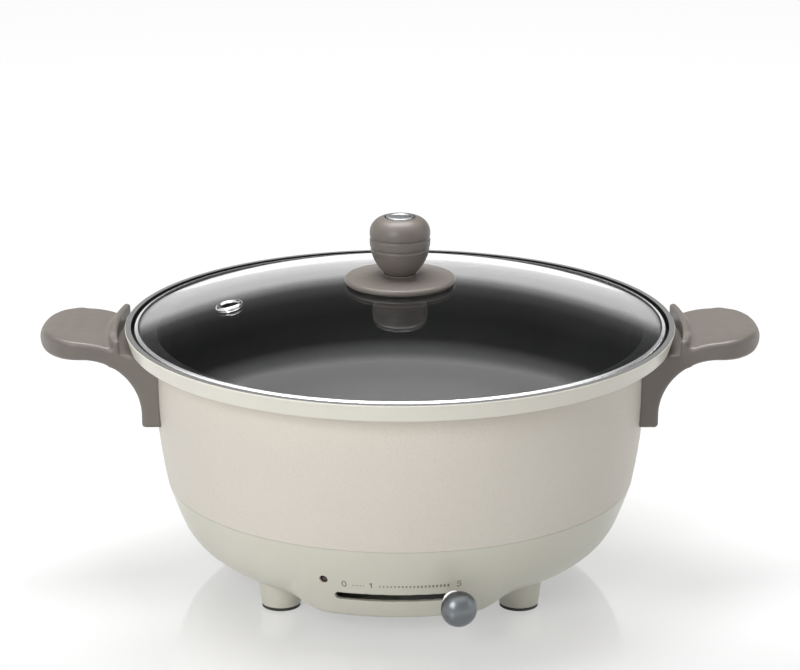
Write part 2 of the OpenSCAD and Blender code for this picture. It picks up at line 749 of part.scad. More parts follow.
// Half of the handle's width at a distance x: a bowed end that runs into round corners
function plan_w(x) =
    x <= corner_x ? handle_half_w
    : x <= bow_end_x ? handle_half_w - plan_corner + sqrt(pow(plan_corner, 2) - pow(x - corner_x, 2))
    : sqrt(max(0, pow(plan_bow, 2) - pow(x - bow_x, 2)));

// One cross-section: a rounded rectangle from a to b across the handle, half width w, corners c.
// The section lies along the direction dir from the point at.
function section(at, dir, a, b, w, c) = [
    for (q = [[1, 1], [-1, 1], [-1, -1], [1, -1]], i = [0 : corner_n - 1])
        let (
            turn = (q[0] == 1 ? (q[1] == 1 ? 0 : 270) : (q[1] == 1 ? 90 : 180)),
            ang = turn + 90 * i / (corner_n - 1),
            cc = min(c, w - 0.2, (b - a) / 2 - 0.05),
            u = (q[1] == 1 ? b - cc : a + cc) + cc * sin(ang),
            v = q[0] * (w - cc) + cc * cos(ang)
        )
        [at[0] + dir[0] * u, v, at[1] + dir[1] * u]
];

// Sections from the foot of the leg, round the curve under the grip, out to the tip
function handle_sections() = concat(
    [for (e = [[0, 2.4], [0.35, 1.3], [1.2, 0.4], [2.6, 0]])
        section([leg_face_x, leg_low_z + e[0]], [-1, 0], e[1], 20, handle_half_w - e[1], handle_edge_r)],
    [for (p = concat([for (z = [curve_z : 9.6 : grip_top[0][1]]) [leg_face_x - 20, z]], grip_top))
        let (d = p - [curve_x, curve_z], r = norm(d))
        section([curve_x, curve_z], d / r, grip_curve_r, r, handle_half_w, handle_edge_r)],
    [for (s = grip_ends)
        section([s[0], 0], [0, 1], s[1], s[2], plan_w(s[0]), handle_edge_r + 0.6)]
);

module handle_body() { loft(handle_sections()); }

// The upright rib behind the rim, concentric with it, its ends rounded and its middle lower
module fin() {
    mid_r = (fin_in_r + fin_out_r) / 2;
    half_t = (fin_out_r - fin_in_r) / 2;
    span = asin((handle_half_w - half_t - 0.3) / mid_r);
    ends = [for (k = [80 : -20 : 20]) k];
    stations = concat(
        [for (k = ends) [-span - sin(k) * half_t / mid_r * 57.3, cos(k)]],
        [for (i = [-8 : 8]) [span * i / 8, 1]],
        [for (i = [len(ends) - 1 : -1 : 0]) [span + sin(ends[i]) * half_t / mid_r * 57.3, cos(ends[i])]]
    );
    loft([for (s = stations)
        let (
            h = half_t * s[1],
            wave = fin_notch * exp(-pow((s[0] + fin_notch_at) / fin_notch_w, 2)) + fin_fall * (span - s[0]),
            top = fin_top_z - wave - 1.2 * (1 - s[1]),
            low = groove_floor_z - 6
        )
        concat(
            [for (k = [180 : -30 : 0])
                [(mid_r + h * cos(k)) * cos(s[0]), (mid_r + h * cos(k)) * sin(s[0]), top - h + h * sin(k)]],
            [for (x = [h, -h]) [(mid_r + x) * cos(s[0]), (mid_r + x) * sin(s[0]), low]]
        )
    ]);
}

module handle() color(taupe) {
    difference() {
        union() { handle_body(); fin(); }
        // room for the rim, the groove behind it and the pan's wall
        translate([0, 0, groove_floor_z]) cylinder(h = 20, r = fin_in_r, $fn = round_fn);
        turned() {
            intersection() {
                translate([wall_arc_x, wall_arc_z]) circle(r = wall_arc_r + wall_gap, $fn = 720);
                band2d(leg_low_z - 5, wall_arc_z);
            }
            band2d(wall_arc_z - 0.01, groove_floor_z + 5, wall_r + wall_gap);
            band2d(groove_floor_z - 2, groove_floor_z + 5, wall_r + 4);
        }
        // two shallow finger dips across the top
        for (d = dips) translate([d[0], 0, d[1] + dip_r]) rotate([90, 0, 0])
            cylinder(h = 100, r = dip_r, center = true, $fn = 180);
        for (sy = [-1, 1]) translate([140, sy * handle_screw_y, handle_screw_z]) rotate([0, 90, 0]) {
            cylinder(h = handle_boss_x - 140, r = handle_boss_r + 0.2, $fn = small_fn);
            cylinder(h = 40, r = 2.2, $fn = small_fn);
            translate([0, 0, 22]) cylinder(h = 20, r = 4.4, $fn = small_fn);
        }
    }
}

module handle_right() { handle(); }
module handle_left() { mirror([1, 0, 0]) handle(); }

module handle_screws() color(steel)
    for (side = [0, 180], sy = [-1, 1]) rotate([0, 0, side])
        translate([162 + 2.6, sy * handle_screw_y, handle_screw_z]) rotate([0, -90, 0])
            screw(1.9, 10, 4, 2.6);

// ---------- control ----------

module control_spindle() color(steel) {
    translate([0, 0, 23.4]) cylinder(h = thermostat_z + 5 - 23.4, r = spindle_r, $fn = small_fn);
    translate([0, 0, lever_z + lever_t]) cylinder(h = 1.6, r = 4.6, $fn = small_fn);
}

module control_lever() color(steel) rotate([0, 0, lever_rest]) {
    difference() {
        union() {
            translate([0, 0, lever_z]) cylinder(h = lever_t, r = 9, $fn = 96);
            intersection() {
                translate([-6, -130, lever_z]) cube([12, 130, lever_t]);
                cylinder(h = 60, r = lever_reach, $fn = round_fn);
            }
            facing(0) translate([0, slot_z, 117]) cylinder(h = collar_dist + 6 - 117, r = stem_r, $fn = small_fn);
        }
        cylinder(h = 60, r = spindle_r + fit_gap, $fn = small_fn);
        translate([-2, -100, lever_z - 1]) cube([4, 70, 4]);
    }
}

module lever_nut() color(brass) difference() {
    translate([0, 0, lever_z - 3]) cylinder(h = 3, r = 5.2, $fn = 6);
    translate([0, 0, lever_z - 4]) cylinder(h = 6, r = spindle_r + fit_gap, $fn = small_fn);
}

// The plate that closes the slot from inside, on the cold side of the lever
module slot_shutter() color([0.42, 0.42, 0.41]) rotate([0, 0, lever_rest]) difference() {
    rotate_extrude(angle = 16.5, start = 270 - 13, $fn = round_fn)
        translate([shutter_r, slot_z - 6.6]) square([shutter_t, 9.6]);
    facing(0) translate([0, slot_z, 110]) cylinder(h = 20, r = stem_r + fit_gap, $fn = small_fn);
}

module slider_collar() color(steel) rotate([0, 0, lever_rest])
    facing(0) translate([0, slot_z, collar_dist]) rotate_extrude($fn = 96) difference() {
        union() {
            square([5.6, 4.4]);
            translate([0, 0.6]) square([9.2, 1.8]);
            translate([9.2, 1.5]) circle(r = 0.9, $fn = 24);
        }
        translate([-1, -1]) square([stem_r + fit_gap + 1, 10]);
    }

// Mushroom-shaped knob: a flattened ball whose back is cut flat and whose stem hole is blind
module slider_knob() color([0.62, 0.64, 0.66]) rotate([0, 0, lever_rest])
    facing(0) translate([0, slot_z, ball_dist]) rotate_extrude($fn = 96) difference() {
        ball_outline_2d();
        translate([-1, -20]) square([stem_r + fit_gap + 1, 20 - 6.7]);
    }

// Half of the knob's section: a round rim, a flatter front and a neck at the back
module ball_outline_2d() {
    back = ball_dist - collar_dist - 4.4;
    join = atan2(ball_front_r - ball_half_depth, ball_rim_x);
    intersection() {
        translate([ball_rim_x, 0]) circle(r = ball_rim_r, $fn = 64);
        translate([0, -20]) square([40, 40]);
    }
    translate([0, -ball_rim_r]) square([ball_rim_x, 2 * ball_rim_r]);
    intersection() {
        translate([0, ball_half_depth - ball_front_r]) circle(r = ball_front_r, $fn = 128);
        square([ball_front_r * cos(join), 20]);
    }
    translate([0, -back]) square([5.6, back]);
}

// ---------- lid ----------

module glass_2d() {
    difference() {
        intersection() {
            translate([0, glass_centre_z]) circle(r = glass_r, $fn = 720);
            translate([0, 100]) square([glass_cut_r, 200]);
        }
        translate([0, glass_centre_z]) circle(r = glass_r - glass_t, $fn = 720);
    }
}

module vent_place() {
    rotate([0, 0, vent_angle]) translate([0, 0, glass_centre_z]) rotate([0, vent_tilt, 0])
        translate([0, 0, glass_r]) children();
}

module lid_glass() color([0.6, 0.63, 0.64, 0.45]) difference() {
    turned() glass_2d();
    vent_place() translate([0, 0, -10]) cylinder(h = 20, r = vent_hole_r, $fn = small_fn);
    cylinder(h = 300, r = glass_hole_r, $fn = small_fn);
}

// Outline of the band, inset by t: a wall, a rolled top edge and a lip along the glass
module band_outline_2d(t, in_r) {
    r = roll_r - t;
    top_x = roll_x + r * sin(lip_slope);
    top_z = roll_z + r * cos(lip_slope);
    translate([in_r, seat_z + t]) square([band_r - t - in_r, roll_z - seat_z - t]);
    translate([roll_x, roll_z]) circle(r = r, $fn = small_fn);
    polygon([[in_r, roll_z - 1], [roll_x, roll_z - 1], [roll_x, roll_z], [top_x, top_z],
             [in_r, top_z + (top_x - in_r) * tan(lip_slope)]]);
}

// Steel channel rolled round the edge of the glass
module lid_band() color(steel) turned() {
    difference() {
        band_outline_2d(0, lip_r);
        band_outline_2d(band_t, 150);
    }
    translate([lip_r - 0.3, seat_z]) square([1, band_t]);
}

// Rubber between the glass and the steel
module lid_seal() color(dark) turned() difference() {
    band_outline_2d(band_t + 0.04, lip_r - 0.7);
    difference() {
        translate([0, glass_centre_z]) circle(r = glass_r + 0.03, $fn = 720);
        translate([0, glass_centre_z]) circle(r = glass_r - glass_t - 0.03, $fn = 720);
        translate([glass_cut_r + 0.03, 100]) square([100, 100]);
    }
}

// Rolled eyelet through the glass
module steam_vent() color(steel) vent_place() rotate_extrude($fn = 96) {
    translate([vent_bore_r, -glass_t - 0.3]) square([vent_t, glass_t + 0.4]);
    vent_roll_2d(0.1);
    translate([0, -glass_t - 0.2]) mirror([0, 1]) vent_roll_2d(0);
}

// Half ring of the eyelet's rolled edge above the height z
module vent_roll_2d(z) {
    difference() {
        translate([vent_bore_r + vent_roll_r, z]) circle(r = vent_roll_r, $fn = small_fn);
        translate([vent_bore_r + vent_roll_r, z]) circle(r = vent_roll_r - vent_t, $fn = small_fn);
        translate([0, z - 10]) square([20, 10]);
    }
}

// A soft ring under the rim of the knob's base and a bush round its screw
module knob_gasket() color(dark) turned() {
    polygon([[gasket_in_r, glass_top_z(gasket_in_r) + 0.02], [gasket_r, glass_top_z(gasket_r) + 0.03],
             [gasket_r, gasket_top_z], [gasket_in_r, gasket_top_z]]);
    polygon([[glass_hole_r - 1.1, crown_z - glass_t], [glass_hole_r - 0.1, crown_z - glass_t],
             [glass_hole_r - 0.1, crown_z + 0.05], [9, glass_top_z(9) + 0.05], [9, gasket_top_z],
             [glass_hole_r - 1.1, gasket_top_z]]);
    polygon([[8, gasket_top_z - 0.3], [gasket_in_r + 1, gasket_top_z - 0.3],
             [gasket_in_r + 1, gasket_top_z], [8, gasket_top_z]]);
}

module knob_base() color(taupe) difference() {
    turned() difference() {
        union() {
            // a rim with round edges, a top that rises to the neck and a fine ring round the neck
            translate([0, disc_low_z]) square([disc_r - disc_round, disc_rim_z - disc_low_z]);
            for (z = [disc_low_z + disc_round, disc_rim_z - disc_round])
                translate([disc_r - disc_round, z]) circle(r = disc_round, $fn = small_fn);
            translate([0, disc_low_z + disc_round])
                square([disc_r, disc_rim_z - disc_low_z - 2 * disc_round]);
            intersection() {
                translate([0, neck_z - disc_top_r]) circle(r = disc_top_r, $fn = 720);
                band2d(disc_rim_z - 0.01, neck_z, disc_r);
            }
            translate([neck_ring_dist, neck_z - 0.1]) circle(r = neck_ring_r, $fn = 24);
        }
        // the gasket's recess, then the room over the glass
        translate([0, disc_low_z - 1]) square([gasket_r + 0.1, 1 + gasket_top_z - disc_low_z]);
    }
    cylinder(h = 300, r = 2.6, $fn = small_fn);
}

module knob_grip() color(taupe) difference() {
    turned() difference() {
        union() {
            intersection() {
                translate([grip_r - bowl_arc_r, belly_z]) circle(r = bowl_arc_r, $fn = 360);
                band2d(neck_z, belly_z, 40);
            }
            translate([0, belly_z]) square([grip_r, shoulder_z - belly_z]);
            intersection() {
                translate([shoulder_x, shoulder_z]) circle(r = shoulder_r, $fn = 180);
                translate([0, shoulder_z - 1]) square([40, 20]);
            }
            translate([0, shoulder_z - 1]) square([shoulder_x, shoulder_r + 1]);
        }
        // two fine grooves round the belly
        for (z = groove_zs) translate([arc_x(grip_r - bowl_arc_r, bowl_arc_r, belly_z, z) + 0.7, z])
            circle(r = 1.3, $fn = 24);
        // recess for the cap
        translate([0, cap_seat_z]) square([cap_r + cap_gap, 10]);
    }
    translate([0, 0, neck_z - 1]) cylinder(h = 19, r = 2.6, $fn = small_fn);
}

module knob_cap() color(steel) turned() difference() {
    union() {
        translate([0, cap_seat_z]) square([cap_r, 2.2]);
        translate([0, cap_seat_z]) square([cap_r - 0.7, 2.9]);
        translate([cap_r - 0.7, cap_seat_z + 2.2]) circle(r = 0.7, $fn = 24);
    }
    translate([0, cap_seat_z + 2.3]) square([6.2, 5]);
    translate([6.2, cap_seat_z + 2.9]) circle(r = 0.6, $fn = 24);
}

module knob_washer() color(dark)
    difference() {
        translate([0, 0, crown_z - glass_t - 1.8]) cylinder(h = 1.64, r = 11, $fn = 96);
        cylinder(h = 300, r = 2.7, $fn = small_fn);
    }

module knob_screw() color(steel)
    translate([0, 0, crown_z - glass_t - 1.8 - 3]) screw(2.5, 24, 5.5, 3);

// ---------- assembly ----------

pan();
base_shell();
bottom_cover();
foot_front_left();
foot_front_right();
foot_rear_left();
foot_rear_right();
pad_front_left();
pad_front_right();
pad_rear_left();
pad_rear_right();
foot_screws();
cover_screws();
base_screws();
heat_plate();
heating_element();
reflector();
reflector_screws();
thermostat();
thermostat_bracket();
bracket_screws();
terminal_block();
thermal_fuse();
lead_wires();
indicator_lens();
indicator_lamp();
inlet_socket();
inlet_pins();
inlet_screws();
handle_left();
handle_right();
handle_screws();
control_spindle();
control_lever();
lever_nut();
slot_shutter();
slider_collar();
slider_knob();
lid_glass();
lid_band();
lid_seal();
steam_vent();
knob_gasket();
knob_base();
knob_grip();
knob_cap();
knob_washer();
knob_screw();
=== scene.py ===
import math

import bmesh
import bpy
import numpy as np
from mathutils import Matrix, Vector


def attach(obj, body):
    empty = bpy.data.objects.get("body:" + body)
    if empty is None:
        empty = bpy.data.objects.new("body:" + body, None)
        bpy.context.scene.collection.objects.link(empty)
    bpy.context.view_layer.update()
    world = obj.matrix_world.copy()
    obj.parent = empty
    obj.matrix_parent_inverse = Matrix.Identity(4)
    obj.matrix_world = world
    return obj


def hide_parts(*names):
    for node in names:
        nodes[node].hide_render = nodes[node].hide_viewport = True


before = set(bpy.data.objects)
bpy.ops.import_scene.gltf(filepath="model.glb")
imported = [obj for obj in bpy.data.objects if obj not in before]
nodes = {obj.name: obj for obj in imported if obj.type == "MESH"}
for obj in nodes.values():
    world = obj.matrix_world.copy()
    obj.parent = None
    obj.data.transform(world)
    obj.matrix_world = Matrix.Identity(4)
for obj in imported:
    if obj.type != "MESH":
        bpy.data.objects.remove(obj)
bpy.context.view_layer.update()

MM = 0.001
scene = bpy.context.scene


# ---------------------------------------------------------------- helpers

# nearly all values of a noise texture lie in this span
NOISE_SPAN = (0.3, 0.7)
COAT_ROUGH = 0.05
SMUDGE_SCALE = 35.0


def srgb(r, g, b):
    """A colour as it is read off a screen, 0 to 255, as linear values."""
    def lin(c):
        c /= 255.0
        return c / 12.92 if c <= 0.04045 else ((c + 0.055) / 1.055) ** 2.4
    return (lin(r), lin(g), lin(b), 1.0)


def tint(color, k):
    """The colour, k times as bright."""
    return tuple(min(1.0, c * k) for c in color[:3]) + (1.0,)


class Nodes:
    """Adds and joins the shader nodes of a material or of the world."""

    def __init__(self, owner, output="OutputMaterial"):
        owner.use_nodes = True
        self.tree = owner.node_tree
        self.tree.nodes.clear()
        self.out = self.add(output)

    def add(self, kind, **values):
        """A new node. A value named _x is its property x, any other is an input, with __ for a space."""
        node = self.tree.nodes.new("ShaderNode" + kind)
        for key, value in values.items():
            if key.startswith("_"):
                setattr(node, key[1:], value)
            else:
                node.inputs[key.replace("__", " ")].default_value = value
        return node

    def link(self, a, b):
        self.tree.links.new(a, b)

    def feed(self, socket, value):
        """Sets an input to a number or a colour, or links it to another node's output."""
        if isinstance(value, (int, float, tuple)):
            socket.default_value = value
        else:
            self.link(value, socket)

    def calc(self, kind, *values):
        """The result of a Math node."""
        node = self.add("Math", _operation=kind)
        for socket, value in zip(node.inputs, values):
            self.feed(socket, value)
        return node.outputs[0]

    def total(self, start, *terms):
        """The start value plus each term's value times its share."""
        for value, share in terms:
            start = self.calc("ADD", start, self.calc("MULTIPLY", value, share))
        return start

    def mix(self, factor, a, b):
        """The blend of two colours."""
        node = self.add("Mix", _data_type="RGBA")
        self.link(factor, node.inputs["Factor"])
        for socket, value in zip([s for s in node.inputs if s.type == "RGBA"], (a, b)):
            self.feed(socket, value)
        return [s for s in node.outputs if s.type == "RGBA"][0]

    def spread(self, value, low, high, to_low=0.0, to_high=1.0, **values):
        """Carries a value between low and high over to a place between to_low and to_high."""
        node = self.add("MapRange", From__Min=low, From__Max=high, To__Min=to_low, To__Max=to_high, **values)
        self.link(value, node.inputs["Value"])
        return node.outputs[0]

    def ramp(self, value, stops, interpolation="LINEAR"):
        """A grey level that runs through the stops, each a position and a level."""
        node = self.add("ValToRGB")
        node.color_ramp.interpolation = interpolation
        elements = node.color_ramp.elements
        while len(elements) < len(stops):
            elements.new(0.5)
        for element, (at, level) in zip(elements, stops):
            element.position = at
            element.color = (level, level, level, 1)
        self.link(value, node.inputs[0])
        return node.outputs[0]

    def place(self):
        """Where the shaded point lies, in metres."""
        return self.add("NewGeometry").outputs["Position"]

    def split(self, vector):
        """The three parts of a vector."""
        node = self.add("SeparateXYZ")
        self.link(vector, node.inputs[0])
        return list(node.outputs)

    def noise(self, place, scale, detail, rough):
        node = self.add("TexNoise", Scale=scale, Detail=detail, Roughness=rough)
        self.link(place, node.inputs["Vector"])
        return node.outputs[0]

    def pebbles(self, place, cell_scale, noise_scale):
        """The height of a pebbled relief."""
        cells = self.add("TexVoronoi", Scale=cell_scale)
        self.link(place, cells.inputs["Vector"])
        return self.calc("ADD", cells.outputs["Distance"], self.noise(place, noise_scale, 3.0, 0.6))


def surface(name, color, rough=0.5, metal=0.0, coat=0.0, grain=None, mottle=0.06, mottle_scale=14.0,
            rough_var=0.08, specular=0.5):
    """A principled material whose colour, roughness and fine relief vary over the surface.

    grain is the size in mm, the height in mm and the share of a pebbled relief."""
    material = bpy.data.materials.new(name)
    n = Nodes(material)
    bsdf = n.add("BsdfPrincipled", Metallic=metal, Specular__IOR__Level=specular, Coat__Weight=coat,
                 Coat__Roughness=COAT_ROUGH)
    n.link(bsdf.outputs[0], n.out.inputs[0])
    place = n.place()
    cloud = n.spread(n.noise(place, mottle_scale, 4.0, 0.55), *NOISE_SPAN)
    mottled = n.mix(cloud, tint(color, 1 - mottle), tint(color, 1 + mottle * 0.5))
    n.link(mottled, bsdf.inputs["Base Color"])
    smudge = n.noise(place, SMUDGE_SCALE, 5.0, 0.6)
    smudge = n.spread(smudge, *NOISE_SPAN, max(0.02, rough - rough_var), rough + rough_var)
    n.link(smudge, bsdf.inputs["Roughness"])
    if grain:
        size, height, share = grain
        bump = n.add("Bump", Strength=share, Distance=height * MM)
        n.link(n.pebbles(place, 1000.0 / size, 1400.0 / size), bump.inputs["Height"])
        n.link(bump.outputs[0], bsdf.inputs["Normal"])
    return material


def paint(material, *names):
    """Gives CAD nodes a material."""
    for name in names:
        mesh = nodes[name].data
        if len(mesh.materials) == 0:
            mesh.materials.append(material)
        for i in range(len(mesh.materials)):
            mesh.materials[i] = material


def piece(name, mesh, material, body, replaces=()):
    """Adds a mesh as a piece of its own that rides on a body."""
    obj = bpy.data.objects.new(name, mesh)
    scene.collection.objects.link(obj)
    mesh.materials.append(material)
    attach(obj, body)
    if replaces:
        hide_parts(*replaces)


# ---------------------------------------------------------------- smooth shells from distance functions
# All lengths in this part are millimetres, and every field is below zero inside the solid.

def round_max(a, b, r):
    """Where both fields are below zero, with an edge of radius r."""
    u, v = np.maximum(a + r, 0), np.maximum(b + r, 0)
    return np.sqrt(u * u + v * v) + np.minimum(np.maximum(a + r, b + r), 0) - r


def soft_min(a, b, k):
    """Where either field is below zero, with a fillet about k wide; k may be a field itself."""
    k = np.maximum(k, 1e-6)
    h = np.maximum(k - np.abs(a - b), 0) / k
    return np.minimum(a, b) - h * h * k / 4


def outline_field(points):
    """The signed distance to a closed outline in a plane."""
    a = np.asarray([p for i, p in enumerate(points) if math.dist(p, points[i - 1]) > 1e-6], float)
    b = np.roll(a, -1, axis=0)

    def field(x, y):
        x, y = np.broadcast_arrays(x, y)
        best = np.full(x.shape, np.inf)
        inside = np.zeros(x.shape, bool)
        for (ax, ay), (bx, by) in zip(a, b):
            ex, ey = bx - ax, by - ay
            wx, wy = x - ax, y - ay
            t = np.clip((wx * ex + wy * ey) / (ex * ex + ey * ey), 0, 1)
            best = np.minimum(best, (wx - ex * t) ** 2 + (wy - ey * t) ** 2)
            crosses = (ay > y) != (by > y)
            if ey:
                inside ^= crosses & (x < ax + ex * (y - ay) / ey)
        return np.where(inside, -1, 1) * np.sqrt(best)

    return field


def arc(cx, cy, r, start, end, n):
    """Points along an arc, angles in degrees."""
    return [(cx + r * math.cos(math.radians(start + (end - start) * i / n)),
             cy + r * math.sin(math.radians(start + (end - start) * i / n))) for i in range(n + 1)]


def smooth_line(points, n):
    """A Catmull-Rom curve through the points, n steps to each stretch."""
    def at(a, b, c, d, t):
        curve = 2 * a - 5 * b + 4 * c - d
        return 0.5 * (2 * b + (c - a) * t + curve * t * t + (3 * b - a - 3 * c + d) * t ** 3)

    p = [points[0], *points, points[-1]]
    line = [tuple(at(*parts, i / n) for parts in zip(*four))
            for four in zip(p, p[1:], p[2:], p[3:]) for i in range(n)]
    return line + [points[-1]]


# rounds of search for a cut, the step in mm for a slope, and the weight of a cell's middle
SEARCHES, SLOPE_STEP, PULL = 4, 0.02, 0.06


def crossings(field, values, low, step, axis):
    """The grid's edges along an axis that the surface cuts, where it cuts them, and which start inside."""
    first, second = [slice(None)] * 3, [slice(None)] * 3
    first[axis], second[axis] = slice(0, -1), slice(1, None)
    before, after = values[tuple(first)], values[tuple(second)]
    at = np.argwhere((before < 0) != (after < 0))
    v0, v1 = before[tuple(at.T)], after[tuple(at.T)]
    starts_inside = v0 < 0
    point = low + at * step
    t_low, t_high = np.zeros(len(at)), np.ones(len(at))
    t = v0 / (v0 - v1)
    for _ in range(SEARCHES):
        here = point.copy()
        here[:, axis] += t * step
        v = field(*here.T)
        same = (v < 0) == (v0 < 0)
        t_low, t_high = np.where(same, t, t_low), np.where(same, t_high, t)
        v0, v1 = np.where(same, v, v0), np.where(same, v1, v)
        t = np.clip(t_low + (t_high - t_low) * v0 / (v0 - v1 + 1e-30), t_low, t_high)
    point[:, axis] += t * step
    return at, point, starts_inside


def slopes(field, point):
    """The direction in which the field grows, at each point."""
    slope = np.stack([field(*(point + SLOPE_STEP * e).T) - field(*(point - SLOPE_STEP * e).T)
                      for e in np.eye(3)], axis=1)
    return slope / (np.linalg.norm(slope, axis=1)[:, None] + 1e-12)


def cells_around(index, at, axis):
    """The numbers of the four cells round each edge, in turn."""
    u, v = [i for i in range(3) if i != axis]
    around = []
    for du, dv in ((-1, -1), (0, -1), (0, 0), (-1, 0)):
        cell = at.copy()
        cell[:, u] += du
        cell[:, v] += dv
        around.append(index[tuple(cell.T)])
    return around


def best_points(sums):
    """For each cell the point that lies best on its tangent planes, pulled lightly to the cuts' middle."""
    middle = sums[:, 9:12] / sums[:, 12:13]
    xx, xy, xz, yy, yz, zz = sums[:, :6].T
    planes = np.stack([xx, xy, xz, xy, yy, yz, xz, yz, zz], axis=1).reshape(-1, 3, 3)
    offset = sums[:, 6:9] - np.einsum("nij,nj->ni", planes, middle)
    planes += PULL * np.eye(3)
    return middle + np.linalg.solve(planes, offset[:, :, None])[:, :, 0]


def contour(name, field, low, high, step):
    """The surface where a field is zero, as one closed quad mesh that keeps sharp edges (dual contouring)."""
    axes = [np.arange(a, b + step, step) for a, b in zip(low, high)]
    low = np.array(low, float)
    values = field(*np.meshgrid(*axes, indexing="ij", sparse=True))
    inside = values < 0
    cells = tuple(n - 1 for n in inside.shape)
    corners = sum(inside[i:cells[0] + i, j:cells[1] + j, k:cells[2] + k].astype(np.int8)
                  for i in (0, 1) for j in (0, 1) for k in (0, 1))
    active = (corners > 0) & (corners < 8)
    count = int(active.sum())
    index = np.full(cells, -1)
    index[active] = np.arange(count)
    # for each cell: six sums of slope products, three of slope times reach, three of the cuts, their number
    sums = np.zeros((count, 13))
    quads = []
    for axis in range(3):
        at, point, starts_inside = crossings(field, values, low, step, axis)
        slope = slopes(field, point)
        reach = (slope * point).sum(1)
        products = (slope[:, :, None] * slope[:, None, :]).reshape(-1, 9)[:, [0, 1, 2, 4, 5, 8]]
        terms = np.concatenate([products, slope * reach[:, None], point, np.ones((len(at), 1))], axis=1)
        around = cells_around(index, at, axis)
        for cell in around:
            for k in range(13):
                sums[:, k] += np.bincount(cell, terms[:, k], count)
        quad = np.stack(around, axis=1)
        flip = starts_inside ^ (axis == 1)
        quads.append(np.where(flip[:, None], quad, quad[:, ::-1]))
    corner = low + np.argwhere(active) * step
    place = np.clip(best_points(sums), corner, corner + step)
    mesh = bpy.data.meshes.new(name)
    mesh.from_pydata((place * MM).tolist(), [], np.concatenate(quads).tolist())
    mesh.validate()
    mesh.update()
    return mesh


# ---------------------------------------------------------------- handles

HANDLE_HALF_W = 39.5
FIN_MID_R, FIN_HALF_T, FIN_TOP = 176.9, 2.3, 159.4
GROOVE_R, GROOVE_Z = 174.6, 148.7
BOLT_Y, BOLT_Z, BOLT_R, HEAD_R, BOSS_R = 18.0, 134.0, 2.2, 4.4, 6.2
DIPS_X, DIP_W, DIP_DEPTH = (196.5, 206.5), 3.2, 0.32
HANDLE_GRID = 0.9
# the tip of the grip, from its underside round to the groove
GRIP_TIP = [(212, 145), (215.5, 145.2), (218.6, 145.9), (221, 147.2), (222.6, 149), (223.4, 151.2),
            (223.3, 153.4), (222.2, 155.2), (220.2, 156.6), (217.4, 157.5), (213, 157.9), (207, 157.8),
            (200, 157.2), (193.2, 156.4), (187, 155.5), (181.5, 154.2), (177, 152.5), (173.6, 150.4),
            (170.6, 149), (167, 148.7)]
WALL_ARC_X, WALL_ARC_Z, WALL_ARC_R, WALL_R = -187.5, 129.5, 340.0, 152.5


def wall_radius(z):
    """Radius of the pan's outer wall at a height."""
    below = np.minimum(z - WALL_ARC_Z, 0)
    return WALL_ARC_X + np.sqrt(WALL_ARC_R ** 2 - below ** 2) + (WALL_R - WALL_ARC_X - WALL_ARC_R)


def handle_field():
    """The right grip: a side outline and a plan outline, the rib, the groove and the screws' bores."""
    side = outline_field(
        [(140, 102)] + arc(155.8, 104.4, 2.4, -90, 0, 6) + arc(193.2, 110, 35, 180, 90, 30)
        + smooth_line(GRIP_TIP, 5) + [(140, 148.7)])
    bow_x, bow_r, corner_r = 175.5, 48.0, 20.0
    corner_x = bow_x + math.sqrt((bow_r - corner_r) ** 2 - (HANDLE_HALF_W - corner_r) ** 2)
    meet = math.degrees(math.atan2(HANDLE_HALF_W - corner_r, corner_x - bow_x))
    corner_y = HANDLE_HALF_W - corner_r
    plan = outline_field([(120, -HANDLE_HALF_W)] + arc(corner_x, -corner_y, corner_r, -90, -meet, 10)
                         + arc(bow_x, 0, bow_r, -meet, meet, 30)
                         + arc(corner_x, corner_y, corner_r, meet, 90, 10) + [(120, HANDLE_HALF_W)])

    def field(x, y, z):
        r = np.sqrt(x * x + y * y)
        # two soft dips across the top that fade towards the front edge
        fade = np.clip((y + 30) / 26, 0, 1)
        fade = fade * fade * (3 - 2 * fade) * np.clip((z - 150) / 5, 0, 1)
        dip = DIP_DEPTH * sum(np.exp(-((x - dip_x) / DIP_W) ** 2) for dip_x in DIPS_X) * fade
        body = round_max(side(x, z) + dip, plan(x, y), 3.0)
        # the rib behind the rim, with a wave along its top
        angle = np.degrees(np.arcsin(np.clip(y / FIN_MID_R, -0.9, 0.9)))
        wave = 2.0 * np.exp(-((angle + 4) / 3.6) ** 2) + 0.06 * (12.6 - angle)
        fin = round_max(np.abs(r - FIN_MID_R) - FIN_HALF_T, z - (FIN_TOP - wave), 2.25)
        fin = round_max(fin, np.abs(y) - HANDLE_HALF_W + 0.3, 2.2)
        body = soft_min(body, np.maximum(fin, 143 - z), 4.5)
        body = np.maximum(body, np.abs(y) - HANDLE_HALF_W)
        # the groove for the rim, the pan's wall, the bosses and the screws
        body = round_max(body, -round_max(r - GROOVE_R, GROOVE_Z - z, 0.8), 0.4)
        body = np.maximum(body, wall_radius(z) + 0.25 - r)
        body = np.maximum(body, np.minimum(WALL_R + 4 - r, z - (GROOVE_Z - 2)))
        bolt = np.sqrt((np.abs(y) - BOLT_Y) ** 2 + (z - BOLT_Z) ** 2)
        body = np.maximum(body, np.minimum(BOSS_R - bolt, 158 - x))
        body = round_max(body, -np.maximum(bolt - HEAD_R, 162 - x), 0.3)
        return np.maximum(body, -np.maximum(bolt - BOLT_R, x - 164))

    return field


def make_handles():
    """The right grip and its mirror image."""
    mesh = contour("handle_right", handle_field(), (141.6, -41.3, 99.8), (225, 41.3, 161), HANDLE_GRID)
    left = mesh.copy()
    left.name = "handle_left"
    left.transform(Matrix.Scale(-1, 4, (1, 0, 0)))
    left.flip_normals()
    for name, data in (("right", mesh), ("left", left)):
        data.set_sharp_from_angle(angle=math.radians(50))
        piece("grip_" + name, data, taupe_plastic, "pot", ["handle_" + name])


# ---------------------------------------------------------------- base shell

